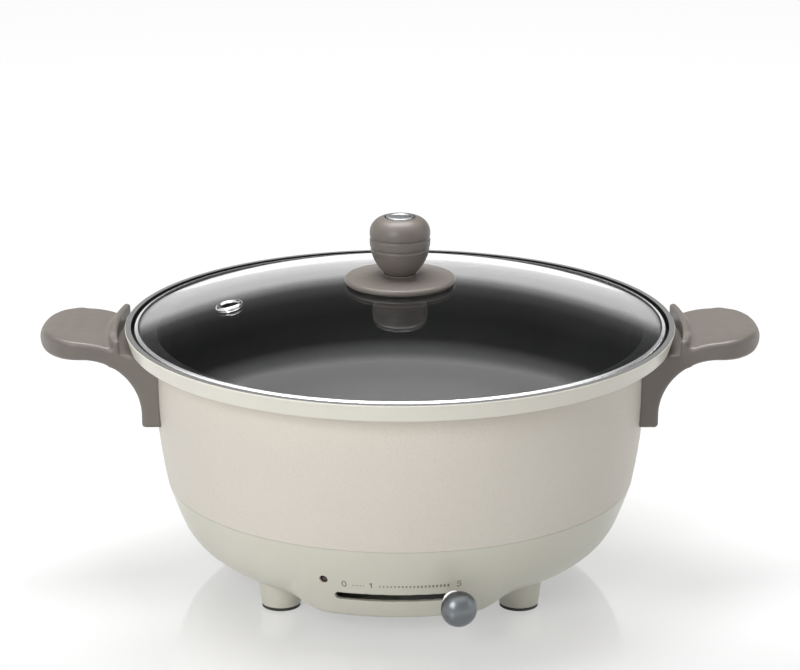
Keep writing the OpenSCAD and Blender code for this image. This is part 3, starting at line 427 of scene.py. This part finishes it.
def ring_places(radius, angles):
    """Places on a circle round the pot's axis, at angles in degrees."""
    return [(radius * math.cos(math.radians(a)), radius * math.sin(math.radians(a))) for a in angles]


SEAM_Z, BASE_Z, SHELL_T = 61.5, 13.5, 2.8
UPPER_R, LOWER_R, TURN = 300.0, 42.0, math.radians(22)
LOWER_Z = BASE_Z + LOWER_R
SEAM_R = WALL_ARC_X + math.sqrt(WALL_ARC_R ** 2 - (WALL_ARC_Z - SEAM_Z) ** 2)
UPPER_Z = LOWER_Z + (UPPER_R - LOWER_R) * math.sin(TURN)
UPPER_X = SEAM_R - math.sqrt(UPPER_R ** 2 - (UPPER_Z - SEAM_Z) ** 2)
LOWER_X = UPPER_X + (UPPER_R - LOWER_R) * math.cos(TURN)
SLOT_Z, SLOT_H, SLOT_END, SLOT_R = 28.0, 5.2, math.radians(15.7), 133.0
LAMP_ANGLE, LAMP_Z, LAMP_R = math.radians(-19.1), 39.3, 2.5
CHIN_Z, CHIN_HALF_W, CHIN_CORNER = 11.6, 64.0, 22.0
BASE_POSTS = ring_places(92, (15, 165, 195, 345))
COVER_POSTS = ring_places(74, (90, 210, 330))
FOOT_XY, INLET_Z = 72.5, 31.0
BASE_GRID = 1.0


def round_box(a, b, r):
    """A rectangle with round corners, from the distances past the straight stretch of its sides."""
    return np.sqrt(np.maximum(a, 0) ** 2 + np.maximum(b, 0) ** 2) + np.minimum(np.maximum(a, b), 0) - r


def base_outer(x, y, z, r):
    """The bowl, the control housing that grows out of its front, and the inlet's boss at the back."""
    up_x, up_z = r - UPPER_X, z - UPPER_Z
    up = np.sqrt(up_x * up_x + up_z * up_z)
    low_x, low_z = r - LOWER_X, z - LOWER_Z
    low = np.sqrt(low_x * low_x + low_z * low_z) + 1e-9
    upper_part = low_z > -low_x * math.tan(TURN)
    on_bend = r > LOWER_X
    bowl = np.where(upper_part, up - UPPER_R, np.where(on_bend, low - LOWER_R, BASE_Z - z))
    # how far the bowl still follows the line of the wall, 1 where it does
    on_lower = np.where(on_bend, (low_x * up_x + low_z * up_z) / (low * up), -up_z / up)
    along = np.where(upper_part, 1.0, on_lower)
    sides = round_box(np.abs(x) - (CHIN_HALF_W - CHIN_CORNER), CHIN_Z + CHIN_CORNER - z, CHIN_CORNER)
    chin = round_max(up - UPPER_R, sides, 3.4)
    chin = round_max(chin, y + 88, 2.0)
    spread = np.clip((np.abs(x) - 40) / 30, 0, 1)
    shell = soft_min(bowl, chin, 0.02 + np.clip(8 * (1 - along), 0, 1) * (3 + 9 * spread))
    boss = round_box(np.abs(x) - 20, np.abs(z - INLET_Z) - 9, 6)
    boss = np.maximum(round_max(boss, y - 141, 1.2), 90 - y)
    return soft_min(shell, boss, 5.0)


def post(x, y, z, px, py, radius, low, high):
    """An upright cylinder."""
    return np.maximum(np.sqrt((x - px) ** 2 + (y - py) ** 2) - radius, np.maximum(low - z, z - high))


def base_field(x, y, z):
    """The base: a shell with its posts and sleeve, less the slot, the bores and the inlet's window."""
    r = np.sqrt(x * x + y * y)
    outer = base_outer(x, y, z, r)
    shell = np.maximum(outer, -(outer + SHELL_T))
    shell = round_max(shell, z - SEAM_Z - 0.05, 0.35)
    shell = np.minimum(shell, np.maximum(np.abs(r - 75.5) - 5.5, np.maximum(BASE_Z - z, z - 18.5)))
    for px, py in BASE_POSTS:
        shell = np.minimum(shell, post(x, y, z, px, py, 6.0, BASE_Z + 1, 38))
    for px, py in COVER_POSTS:
        shell = np.minimum(shell, post(x, y, z, px, py, 4.0, BASE_Z + 1, BASE_Z + 10))
    foot = np.sqrt((np.abs(x) - FOOT_XY) ** 2 + (np.abs(y) - FOOT_XY) ** 2)
    shell = np.minimum(shell, np.maximum(np.maximum(foot - 6.5, z - 26.5), outer + 0.5))
    # the sleeve of the indicator and its bore, along the direction in which it faces
    fx, fy = math.sin(LAMP_ANGLE), -math.cos(LAMP_ANGLE)
    out = x * fx + y * fy
    beside = np.sqrt((x * fy - y * fx) ** 2 + (z - LAMP_Z) ** 2)
    shell = np.minimum(shell, np.maximum(beside - 4.1, np.maximum(127 - out, out - 135.2)))
    shell = round_max(shell, -np.maximum(beside - LAMP_R, 120 - out), 0.3)
    # the slot with its round ends
    turn = np.abs(np.arctan2(x, -y)) - SLOT_END
    slot = np.sqrt((np.maximum(turn, 0) * SLOT_R) ** 2 + (z - SLOT_Z) ** 2) - SLOT_H / 2
    shell = round_max(shell, -np.maximum(slot, 118 - r), 0.4)
    # bores, the cover's rebate and the inlet's window
    shell = np.maximum(shell, -np.maximum(r - 78.3, z - 15.7))
    shell = np.maximum(shell, -np.maximum(r - 70, z - 20.5))
    for px, py in BASE_POSTS:
        shell = np.maximum(shell, -post(x, y, z, px, py, 4.4, 0, 20))
        shell = np.maximum(shell, -post(x, y, z, px, py, 2.2, 0, 52.5))
    for px, py in COVER_POSTS:
        shell = np.maximum(shell, -post(x, y, z, px, py, 1.6, 0, 22.5))
    shell = np.maximum(shell, -np.maximum(foot - 2, z - 24.5))
    window = np.maximum(np.maximum(np.abs(x) - 17, np.abs(z - INLET_Z) - 10), 100 - y)
    shell = np.maximum(shell, -window)
    screw = np.sqrt((np.abs(x) - 19.2) ** 2 + (z - INLET_Z) ** 2)
    return np.maximum(shell, -np.maximum(screw - 1.3, 130 - y))


def make_base():
    """The base's housing."""
    mesh = contour("base", base_field, (-148.3, -148.3, 10.1), (148.3, 148.3, 63), BASE_GRID)
    mesh.set_sharp_from_angle(angle=math.radians(32))
    piece("base_housing", mesh, cream_plastic, "pot", ["base_shell"])


# ---------------------------------------------------------------- turned pieces

def turned(name, outline, place=None, n=128):
    """A closed ring from an outline in mm (radius, height), turned round Z and then moved to its place."""
    bm = bmesh.new()
    rings = []
    for i in range(n):
        c, s = math.cos(2 * math.pi * i / n), math.sin(2 * math.pi * i / n)
        rings.append([bm.verts.new(Vector((r * c, r * s, z)) * MM) for r, z in outline])
    for a, b in zip(rings, rings[1:] + rings[:1]):
        for j in range(len(outline)):
            k = (j + 1) % len(outline)
            bm.faces.new((a[j], b[j], b[k], a[k]))
    bmesh.ops.recalc_face_normals(bm, faces=bm.faces)
    if place:
        bm.transform(place)
    mesh = bpy.data.meshes.new(name)
    bm.to_mesh(mesh)
    bm.free()
    mesh.shade_smooth()
    mesh.set_sharp_from_angle(angle=math.radians(40))
    return mesh


def make_knob_disc():
    """The disc under the lid's knob: a full round rim and a top that swells towards the neck."""
    rim_r, low, high, top, bore_r = 34.3, 183.9, 187.9, 189.5, 2.6
    edge = (high - low) / 2
    outline = [(bore_r, top), (9.0, top)] + arc(10.0, top, 0.6, 160, 20, 6)
    outline += [(r, high - 0.15 + (top - high) * (1 - ((r - 11) / (rim_r - edge - 11)) ** 2) ** 0.8)
                for r in np.linspace(12, rim_r - edge - 0.3, 14)]
    outline += arc(rim_r - edge, low + edge, edge, 78, -90, 14)
    outline += [(31.2, low), (31.2, 185.1), (bore_r, 185.1)]
    piece("knob_disc", turned("knob_disc", outline), taupe_plastic, "lid", ["knob_base"])


def make_collar():
    """The small bright collar between the slider's knob and the slot."""
    place = Matrix.Translation(Vector((0, -138.2, SLOT_Z)) * MM)
    facing = Matrix.Rotation(math.radians(13), 4, "Z") @ place
    facing = facing @ Matrix.Rotation(math.radians(90), 4, "X")
    outline = [(1.8, 0.0), (5.0, 0.0), (5.6, 0.5)] + arc(5.8, 1.5, 0.8, -60, 60, 6)
    outline += [(5.3, 2.6), (5.0, 4.3), (1.8, 4.3)]
    piece("slider_ring", turned("slider_ring", outline, facing, 64), polished, "control",
          ["slider_collar"])


# ---------------------------------------------------------------- scale on the panel

INK_LIFT, INK_SINK, STROKE_W = 0.07, 0.12, 0.7
SIGN_Z, MARK_Z = 37.4, 36.8
DOTS, DOT_R, TICKS = 5, 0.38, 19


def panel_point(angle, z, lift):
    """A point on the housing's front, at an angle from the front and a height, lifted off the surface."""
    r = UPPER_X + math.sqrt(UPPER_R ** 2 - (UPPER_Z - z) ** 2) + lift
    return Vector((r * math.sin(angle), -r * math.cos(angle), z)) * MM


def print_mark(bm, outline, angle, z):
    """A flat closed mark on the housing: an outline in mm, to the right and up, round a point at an angle."""
    top = [bm.verts.new(panel_point(angle + u / SLOT_R, z + v, INK_LIFT)) for u, v in outline]
    low = [bm.verts.new(panel_point(angle + u / SLOT_R, z + v, -INK_SINK)) for u, v in outline]
    bm.faces.new(top)
    bm.faces.new(low[::-1])
    n = len(outline)
    for i in range(n):
        bm.faces.new((top[(i + 1) % n], top[i], low[i], low[(i + 1) % n]))


def stroke(points):
    """The outline of a printed line through some points."""
    left, right = [], []
    for i, (x, y) in enumerate(points):
        ax, ay = points[max(i - 1, 0)]
        bx, by = points[min(i + 1, len(points) - 1)]
        d = math.hypot(bx - ax, by - ay)
        nx, ny = -(by - ay) / d * STROKE_W / 2, (bx - ax) / d * STROKE_W / 2
        left.append((x + nx, y + ny))
        right.append((x - nx, y - ny))
    return right + left[::-1]


def make_scale():
    """The print on the panel: 0, a row of dots, 1, a row of growing ticks and 5."""
    bm = bmesh.new()
    deg = math.radians
    zero = [(1.15 * math.cos(deg(a)), 1.9 * math.sin(deg(a))) for a in range(0, 361, 15)]
    half = len(zero) // 2
    for part in (zero[:half + 1], zero[half:]):
        print_mark(bm, stroke(part), deg(-13.9), SIGN_Z)
    print_mark(bm, stroke([(-0.8, 1.2), (0.1, 1.9), (0.1, -1.9)]), deg(-7.1), SIGN_Z)
    five = [(1.1, 1.9), (-0.95, 1.9), (-1.05, 0.25), (-0.2, 0.55), (0.6, 0.4), (1.1, -0.2), (1.15, -0.8),
            (0.8, -1.5), (0.1, -1.9), (-0.6, -1.8), (-1.15, -1.4)]
    print_mark(bm, stroke(five), deg(14.7), SIGN_Z)
    dot = [(DOT_R * math.cos(deg(a)), DOT_R * math.sin(deg(a))) for a in range(0, 360, 45)]
    for i in range(DOTS):
        print_mark(bm, dot, deg(-11.75 + 0.66 * i), MARK_Z)
    for i in range(TICKS):
        share = i / (TICKS - 1)
        h, w = 0.45 + 0.55 * share, 0.42 + 0.14 * share
        print_mark(bm, [(-w, -h), (w, -h), (w, h), (-w, h)], deg(-5.0 + 17.0 * share), MARK_Z)
    mesh = bpy.data.meshes.new("panel_scale")
    bmesh.ops.recalc_face_normals(bm, faces=bm.faces)
    bm.to_mesh(mesh)
    bm.free()
    piece("panel_scale", mesh, print_ink, "pot")


# ---------------------------------------------------------------- camera

# fitted to the photo: radians, metres and the photo's pixels
ELEVATION, DISTANCE, AIM_Z = 0.292819, 1.75402, 0.149936
FOCAL_PX, PHOTO_W_PX, SENSOR_MM = 2825.05, 800, 36

target = Vector((0.0, 0.0, AIM_Z))
camera = bpy.data.objects.new("camera", bpy.data.cameras.new("camera"))
scene.collection.objects.link(camera)
camera.location = target + DISTANCE * Vector((0, -math.cos(ELEVATION), math.sin(ELEVATION)))
camera.rotation_euler = (math.pi / 2 - ELEVATION, 0, 0)
camera.data.lens = FOCAL_PX / PHOTO_W_PX * SENSOR_MM
camera.data.sensor_width = SENSOR_MM
camera.data.clip_start = 0.05
camera.data.clip_end = 60
scene.camera = camera
scene.view_settings.view_transform = "Standard"


# ---------------------------------------------------------------- light

WHITE = (1, 1, 1, 1)
AMBIENT = (0.20, 0.20, 0.20, 1)
# what shiny surfaces see from straight down to straight up: a pale room with a brighter ceiling
ROOM = [(0.0, 1.0), (0.70, 1.0), (0.78, 0.75), (0.86, 1.3), (0.90, 1.9), (1.0, 1.9)]


def area_light(name, place, aim, size, power):
    data = bpy.data.lights.new(name, "AREA")
    data.shape = "RECTANGLE"
    data.size, data.size_y = size
    data.energy = power
    obj = bpy.data.objects.new(name, data)
    scene.collection.objects.link(obj)
    obj.location = place
    obj.rotation_euler = (Vector(aim) - Vector(place)).to_track_quat("-Z", "Y").to_euler()


def make_world():
    """Dim even light for matt surfaces, a pale room for shiny ones, white for the camera and glass."""
    world = bpy.data.worlds.new("studio")
    scene.world = world
    n = Nodes(world, "OutputWorld")
    background = n.add("Background", Strength=1.0)
    n.link(background.outputs[0], n.out.inputs[0])
    height = n.split(n.add("TexCoord").outputs["Generated"])[2]
    room = n.ramp(n.spread(height, -1.0, 1.0), ROOM, "EASE")
    rays = n.add("LightPath").outputs
    level = n.mix(rays["Is Glossy Ray"], AMBIENT, room)
    level = n.mix(rays["Is Camera Ray"], level, WHITE)
    level = n.mix(rays["Is Transmission Ray"], level, WHITE)
    n.link(level, background.inputs["Color"])


area_light("key", (-0.85, -1.5, 0.95), (0, 0, 0.10), (0.7, 0.9), 15.0)
area_light("fill", (1.75, -0.35, 0.70), (0, 0, 0.10), (0.6, 1.0), 2.0)
area_light("top", (-0.1, 0.35, 1.9), (0, 0, 0.15), (1.5, 0.9), 41.0)
make_world()


# ---------------------------------------------------------------- floor and card

FLOOR_R, FLOOR_GLOW, FLOOR_SHINY = 9.0, 0.42, 1.5
CARD_Y, CARD_HALF_W, CARD_LOW, CARD_HIGH = 0.6, 1.3, 0.29, 0.86
CARD = [(0.0, 0.95), (0.05, 0.50), (0.12, 0.15), (0.24, 0.05), (0.45, 0.02), (0.72, 0.04), (0.90, 0.5),
        (1.0, 1.3)]


def stage_piece(name, mesh, material):
    obj = bpy.data.objects.new(name, mesh)
    scene.collection.objects.link(obj)
    mesh.materials.append(material)
    return obj


def floor_material():
    """Pale and faintly glossy, with a glow that is stronger for shiny surfaces and absent for matt ones."""
    material = bpy.data.materials.new("pale_floor")
    n = Nodes(material)
    both = n.add("MixShader")
    n.link(n.add("Fresnel", IOR=1.9).outputs[0], both.inputs[0])
    n.link(n.add("BsdfDiffuse", Color=(0.45, 0.45, 0.45, 1)).outputs[0], both.inputs[1])
    n.link(n.add("BsdfGlossy", Color=WHITE, Roughness=0.06).outputs[0], both.inputs[2])
    rays = n.add("LightPath").outputs
    shiny = n.calc("MULTIPLY", rays["Is Glossy Ray"], FLOOR_SHINY)
    seen = n.calc("MAXIMUM", rays["Is Camera Ray"], shiny)
    seen = n.calc("MAXIMUM", seen, rays["Is Transmission Ray"])
    glow = n.add("Emission", Color=WHITE)
    n.link(n.calc("MULTIPLY", seen, FLOOR_GLOW), glow.inputs["Strength"])
    total = n.add("AddShader")
    n.link(both.outputs[0], total.inputs[0])
    n.link(glow.outputs[0], total.inputs[1])
    n.link(total.outputs[0], n.out.inputs[0])
    return material


def make_floor():
    mesh = bpy.data.meshes.new("floor")
    bm = bmesh.new()
    bmesh.ops.create_circle(bm, cap_ends=True, segments=128, radius=FLOOR_R)
    bm.to_mesh(mesh)
    bm.free()
    stage_piece("floor", mesh, floor_material())


def make_card():
    """A card behind the pot that only shiny surfaces and glass see, pale at its foot, dark in its middle."""
    mesh = bpy.data.meshes.new("flag")
    mesh.from_pydata([(-CARD_HALF_W, CARD_Y, CARD_LOW), (CARD_HALF_W, CARD_Y, CARD_LOW),
                      (CARD_HALF_W, CARD_Y, CARD_HIGH), (-CARD_HALF_W, CARD_Y, CARD_HIGH)],
                     [], [(0, 1, 2, 3)])
    material = bpy.data.materials.new("graded_card")
    n = Nodes(material)
    height = n.split(n.place())[2]
    glow = n.add("Emission")
    n.link(n.ramp(n.spread(height, CARD_LOW, CARD_HIGH), CARD), glow.inputs["Color"])
    n.link(glow.outputs[0], n.out.inputs[0])
    card = stage_piece("flag", mesh, material)
    card.visible_camera = False
    card.visible_diffuse = False
    card.visible_shadow = False


make_floor()
make_card()


# ---------------------------------------------------------------- materials

CREAM = srgb(214, 212, 198)
BEIGE = srgb(222, 216, 205)
TAUPE = srgb(112, 105, 99)
BARE_METAL = srgb(170, 170, 172)

cream_plastic = surface("cream_plastic", CREAM, rough=0.34, mottle=0.015, rough_var=0.04,
                        grain=(0.9, 0.004, 0.10))
black_rubber = surface("black_rubber", srgb(42, 42, 42), rough=0.7, grain=(0.5, 0.02, 0.5), mottle=0.15)
taupe_plastic = surface("taupe_plastic", TAUPE, rough=0.42, mottle=0.035, grain=(0.55, 0.012, 0.45))
screw_steel = surface("screw_steel", srgb(190, 190, 192), rough=0.3, metal=1.0, grain=(0.4, 0.01, 0.4))
sheet_steel = surface("sheet_steel", srgb(200, 200, 202), rough=0.32, metal=1.0, mottle=0.15,
                      mottle_scale=120, grain=(0.8, 0.01, 0.3))
cast_metal = surface("cast_aluminium", srgb(178, 178, 180), rough=0.55, metal=1.0, grain=(0.6, 0.05, 0.8))
element_steel = surface("element_steel", srgb(96, 88, 80), rough=0.45, metal=1.0, mottle=0.25,
                        mottle_scale=60, grain=(0.4, 0.02, 0.5))
steatite = surface("steatite", srgb(226, 220, 204), rough=0.6, grain=(0.4, 0.02, 0.5))
wire_sleeve = surface("wire_sleeve", srgb(214, 208, 194), rough=0.8, grain=(0.35, 0.08, 0.9), mottle=0.12,
                      mottle_scale=400)
red_lens = surface("red_lens", srgb(44, 14, 12), rough=0.12, mottle=0.1)
lamp_glass = surface("lamp_glass", srgb(226, 170, 130), rough=0.1, coat=1.0)
black_plastic = surface("black_plastic", srgb(40, 40, 41), rough=0.5, grain=(0.6, 0.02, 0.6))
brass = surface("brass_pins", srgb(205, 172, 105), rough=0.25, metal=1.0, grain=(0.4, 0.008, 0.4))
grey_plastic = surface("grey_plastic", srgb(112, 112, 110), rough=0.5, grain=(0.5, 0.01, 0.5))
chrome = surface("bright_metal", srgb(214, 214, 216), rough=0.12, metal=1.0, mottle=0.02, rough_var=0.03)
cap_metal = surface("cap_metal", srgb(176, 178, 180), rough=0.32, metal=0.9, mottle=0.03,
                    grain=(0.3, 0.004, 0.3))
polished = surface("polished_steel", srgb(240, 240, 241), rough=0.24, metal=0.75, mottle=0.02, rough_var=0.03)
dark_coat = surface("dark_coat", srgb(40, 40, 40), rough=0.5, specular=0.12, mottle=0.08,
                    grain=(0.8, 0.004, 0.1))
# a darker copy of the dark coat for the lid's step: painted shade of the gap under the lid
step_shade_coat = surface("step_shade_coat", srgb(24, 24, 24), rough=0.5, specular=0.10, mottle=0.08,
                     grain=(0.8, 0.004, 0.1))
print_ink = surface("print_ink", srgb(128, 122, 112), rough=0.5, grain=(0.3, 0.004, 0.3))
satin = surface("satin_metal", srgb(104, 108, 111), rough=0.30, metal=0.85, mottle=0.02, rough_var=0.03,
                grain=(0.25, 0.006, 0.6))


# the middle of the pan's wall: an arc down to BEND_Z, and below it the bend into the floor, in mm
MID_ARC_R, BEND_Z = WALL_ARC_R - 1.4, 77.0
BEND_X, BEND_MID_Z, BEND_R = 113.9, 82.0, 33.6
SEAT_R = 166.8


def pan_zones(n, place):
    """Masks over the pan: all parts in the dark coat, the lid's step (painted blacker as painted shade of the
    gap under the lid), the rim's top (the same coat painted light grey as a painted highlight), the rim, the
    bare underside.
    """
    x, y, z = n.split(place)
    flat = n.add("CombineXYZ")
    n.link(x, flat.inputs[0])
    n.link(y, flat.inputs[1])
    length = n.add("VectorMath", _operation="LENGTH")
    n.link(flat.outputs[0], length.inputs[0])
    r = length.outputs["Value"]

    def either(a, b):
        return n.calc("ADD", a, b)

    def both(a, b):
        return n.calc("MULTIPLY", a, b)

    def without(mask):
        return n.calc("SUBTRACT", 1.0, mask)

    def below(value, mm):
        return n.calc("LESS_THAN", value, mm * MM)

    def over(value, mm):
        return n.calc("GREATER_THAN", value, mm * MM)

    drop = n.calc("MINIMUM", n.calc("SUBTRACT", z, WALL_ARC_Z * MM), 0.0)
    wall = n.calc("SUBTRACT", (MID_ARC_R * MM) ** 2, n.calc("POWER", drop, 2.0))
    wall = n.calc("ADD", n.calc("SQRT", wall), WALL_ARC_X * MM)
    drop = n.calc("POWER", n.calc("SUBTRACT", z, BEND_MID_Z * MM), 2.0)
    bend = n.calc("MAXIMUM", n.calc("SUBTRACT", (BEND_R * MM) ** 2, drop), 0.0)
    bend = n.calc("ADD", n.calc("SQRT", bend), BEND_X * MM)
    in_bend = below(z, BEND_Z)
    middle = either(both(wall, without(in_bend)), both(bend, in_bend))
    inside = both(n.calc("LESS_THAN", r, middle), over(z, 48.4))
    shaded_seat = both(below(r, SEAT_R), over(z, 152.2))
    # the rim's top, which the pan's material paints light grey as a painted highlight
    top = over(z, 159.25)
    dark = n.calc("MINIMUM", either(either(inside, shaded_seat), top), 1.0)
    rim = both(over(r, 165.2), without(dark))
    bottom = both(below(z, 60.5), without(inside))
    return dark, shaded_seat, top, rim, bottom


def pan_material():
    """Cream textured paint outside, a smooth cream rim whose top is the dark coat painted light grey as a
    painted highlight, dark inside with the lid's step painted blacker as painted shade, bare metal below.
    """
    material = bpy.data.materials.new("pan_coating")
    n = Nodes(material)
    bsdf = n.add("BsdfPrincipled", Specular__IOR__Level=0.4)
    n.link(bsdf.outputs[0], n.out.inputs[0])
    place = n.place()
    dark, shaded_seat, top, rim, bottom = pan_zones(n, place)
    cloud = n.noise(place, 12.0, 4.0, 0.55)
    speck = n.noise(place, 1500.0, 2.0, 0.6)

    def step(value, low, high):
        return n.spread(value, low, high, _interpolation_type="SMOOTHSTEP")

    outside = n.mix(step(cloud, *NOISE_SPAN), tint(BEIGE, 0.98), tint(BEIGE, 1.01))
    outside = n.mix(step(speck, 0.45, 0.75), outside, tint(BEIGE, 0.90))
    coat = n.mix(step(speck, 0.5, 0.7), srgb(42, 42, 42), srgb(48, 47, 46))
    # the lid's step: the coat painted near black, painted shade of the gap under the lid
    coat = n.mix(shaded_seat, coat, srgb(26, 26, 26))
    # the rim's top: the dark coat painted light grey, a painted highlight of the light from above
    coat = n.mix(top, coat, srgb(112, 112, 111))
    cream = n.mix(step(cloud, *NOISE_SPAN), srgb(226, 223, 211), srgb(230, 227, 216))
    color = n.mix(rim, outside, cream)
    color = n.mix(dark, color, coat)
    color = n.mix(bottom, color, BARE_METAL)
    n.link(color, bsdf.inputs["Base Color"])
    n.link(bottom, bsdf.inputs["Metallic"])
    uneven = n.calc("SUBTRACT", cloud, 0.5)
    n.link(n.total(0.50, (rim, -0.18), (dark, -0.12), (uneven, 0.12)), bsdf.inputs["Roughness"])
    bump = n.add("Bump", Distance=0.05 * MM)
    n.link(n.total(0.55, (rim, -0.48), (dark, -0.52)), bump.inputs["Strength"])
    n.link(n.pebbles(place, 850.0, 1300.0), bump.inputs["Height"])
    n.link(bump.outputs[0], bsdf.inputs["Normal"])
    return material


def glass_material():
    """Clear glass with a faint uneven haze, which lets light through to what is below it."""
    material = bpy.data.materials.new("lid_glass")
    n = Nodes(material)
    glass = n.add("BsdfPrincipled", Base__Color=(0.93, 0.935, 0.935, 1), Metallic=0.0, IOR=1.5,
                  Transmission__Weight=1.0)
    haze = n.spread(n.noise(n.place(), 30.0, 3.0, 0.5), 0.0, 1.0, 0.0, 0.012)
    n.link(haze, glass.inputs["Roughness"])
    clear = n.add("BsdfTransparent", Color=(0.80, 0.82, 0.82, 1))
    either = n.add("MixShader")
    n.link(n.add("LightPath").outputs["Is Shadow Ray"], either.inputs[0])
    n.link(glass.outputs[0], either.inputs[1])
    n.link(clear.outputs[0], either.inputs[2])
    n.link(either.outputs[0], n.out.inputs[0])
    return material


def wall_middle(z):
    """Radius of the middle of the pan's wall at a height."""
    if z > BEND_Z:
        return float(wall_radius(z)) - 1.4
    return BEND_X + math.sqrt(max(BEND_R ** 2 - (BEND_MID_Z - z) ** 2, 0))


def coat_inside():
    """Gives the pan's inside its dark coat and the lid's step a blacker copy of that coat as painted shade of
    the gap under the lid, face by face.
    """
    mesh = nodes["pan"].data
    mesh.materials.append(dark_coat)
    mesh.materials.append(step_shade_coat)
    dark, step_shade = len(mesh.materials) - 2, len(mesh.materials) - 1
    world = nodes["pan"].matrix_world
    for face in mesh.polygons:
        x, y, z = world @ face.center / MM
        r = math.hypot(x, y)
        if z > 152.4 and r < SEAT_R:
            face.material_index = step_shade
        elif 48.6 < z < 153 and r < wall_middle(z):
            face.material_index = dark


paint(pan_material(), "pan")
coat_inside()
paint(cream_plastic, "base_shell", "bottom_cover", "foot_front_left", "foot_front_right",
      "foot_rear_left", "foot_rear_right")
paint(black_rubber, "pad_front_left", "pad_front_right", "pad_rear_left", "pad_rear_right",
      "lid_seal", "knob_gasket", "knob_washer")
paint(screw_steel, "foot_screws", "cover_screws", "base_screws", "reflector_screws", "bracket_screws",
      "inlet_screws", "handle_screws", "control_spindle", "knob_screw")
paint(cast_metal, "heat_plate")
paint(element_steel, "heating_element")
paint(sheet_steel, "reflector", "thermostat_bracket", "control_lever")
paint(steatite, "thermostat", "terminal_block", "thermal_fuse")
paint(wire_sleeve, "lead_wires")
paint(red_lens, "indicator_lens")
paint(lamp_glass, "indicator_lamp")
paint(black_plastic, "inlet_socket")
paint(brass, "inlet_pins", "lever_nut")
paint(taupe_plastic, "handle_left", "handle_right", "knob_base", "knob_grip")
paint(grey_plastic, "slot_shutter")
paint(chrome, "steam_vent")
paint(polished, "slider_collar", "lid_band")
paint(cap_metal, "knob_cap")
paint(satin, "slider_knob")
paint(glass_material(), "lid_glass")


# ---------------------------------------------------------------- visual pieces

make_handles()
make_base()
make_scale()
make_knob_disc()
make_collar()
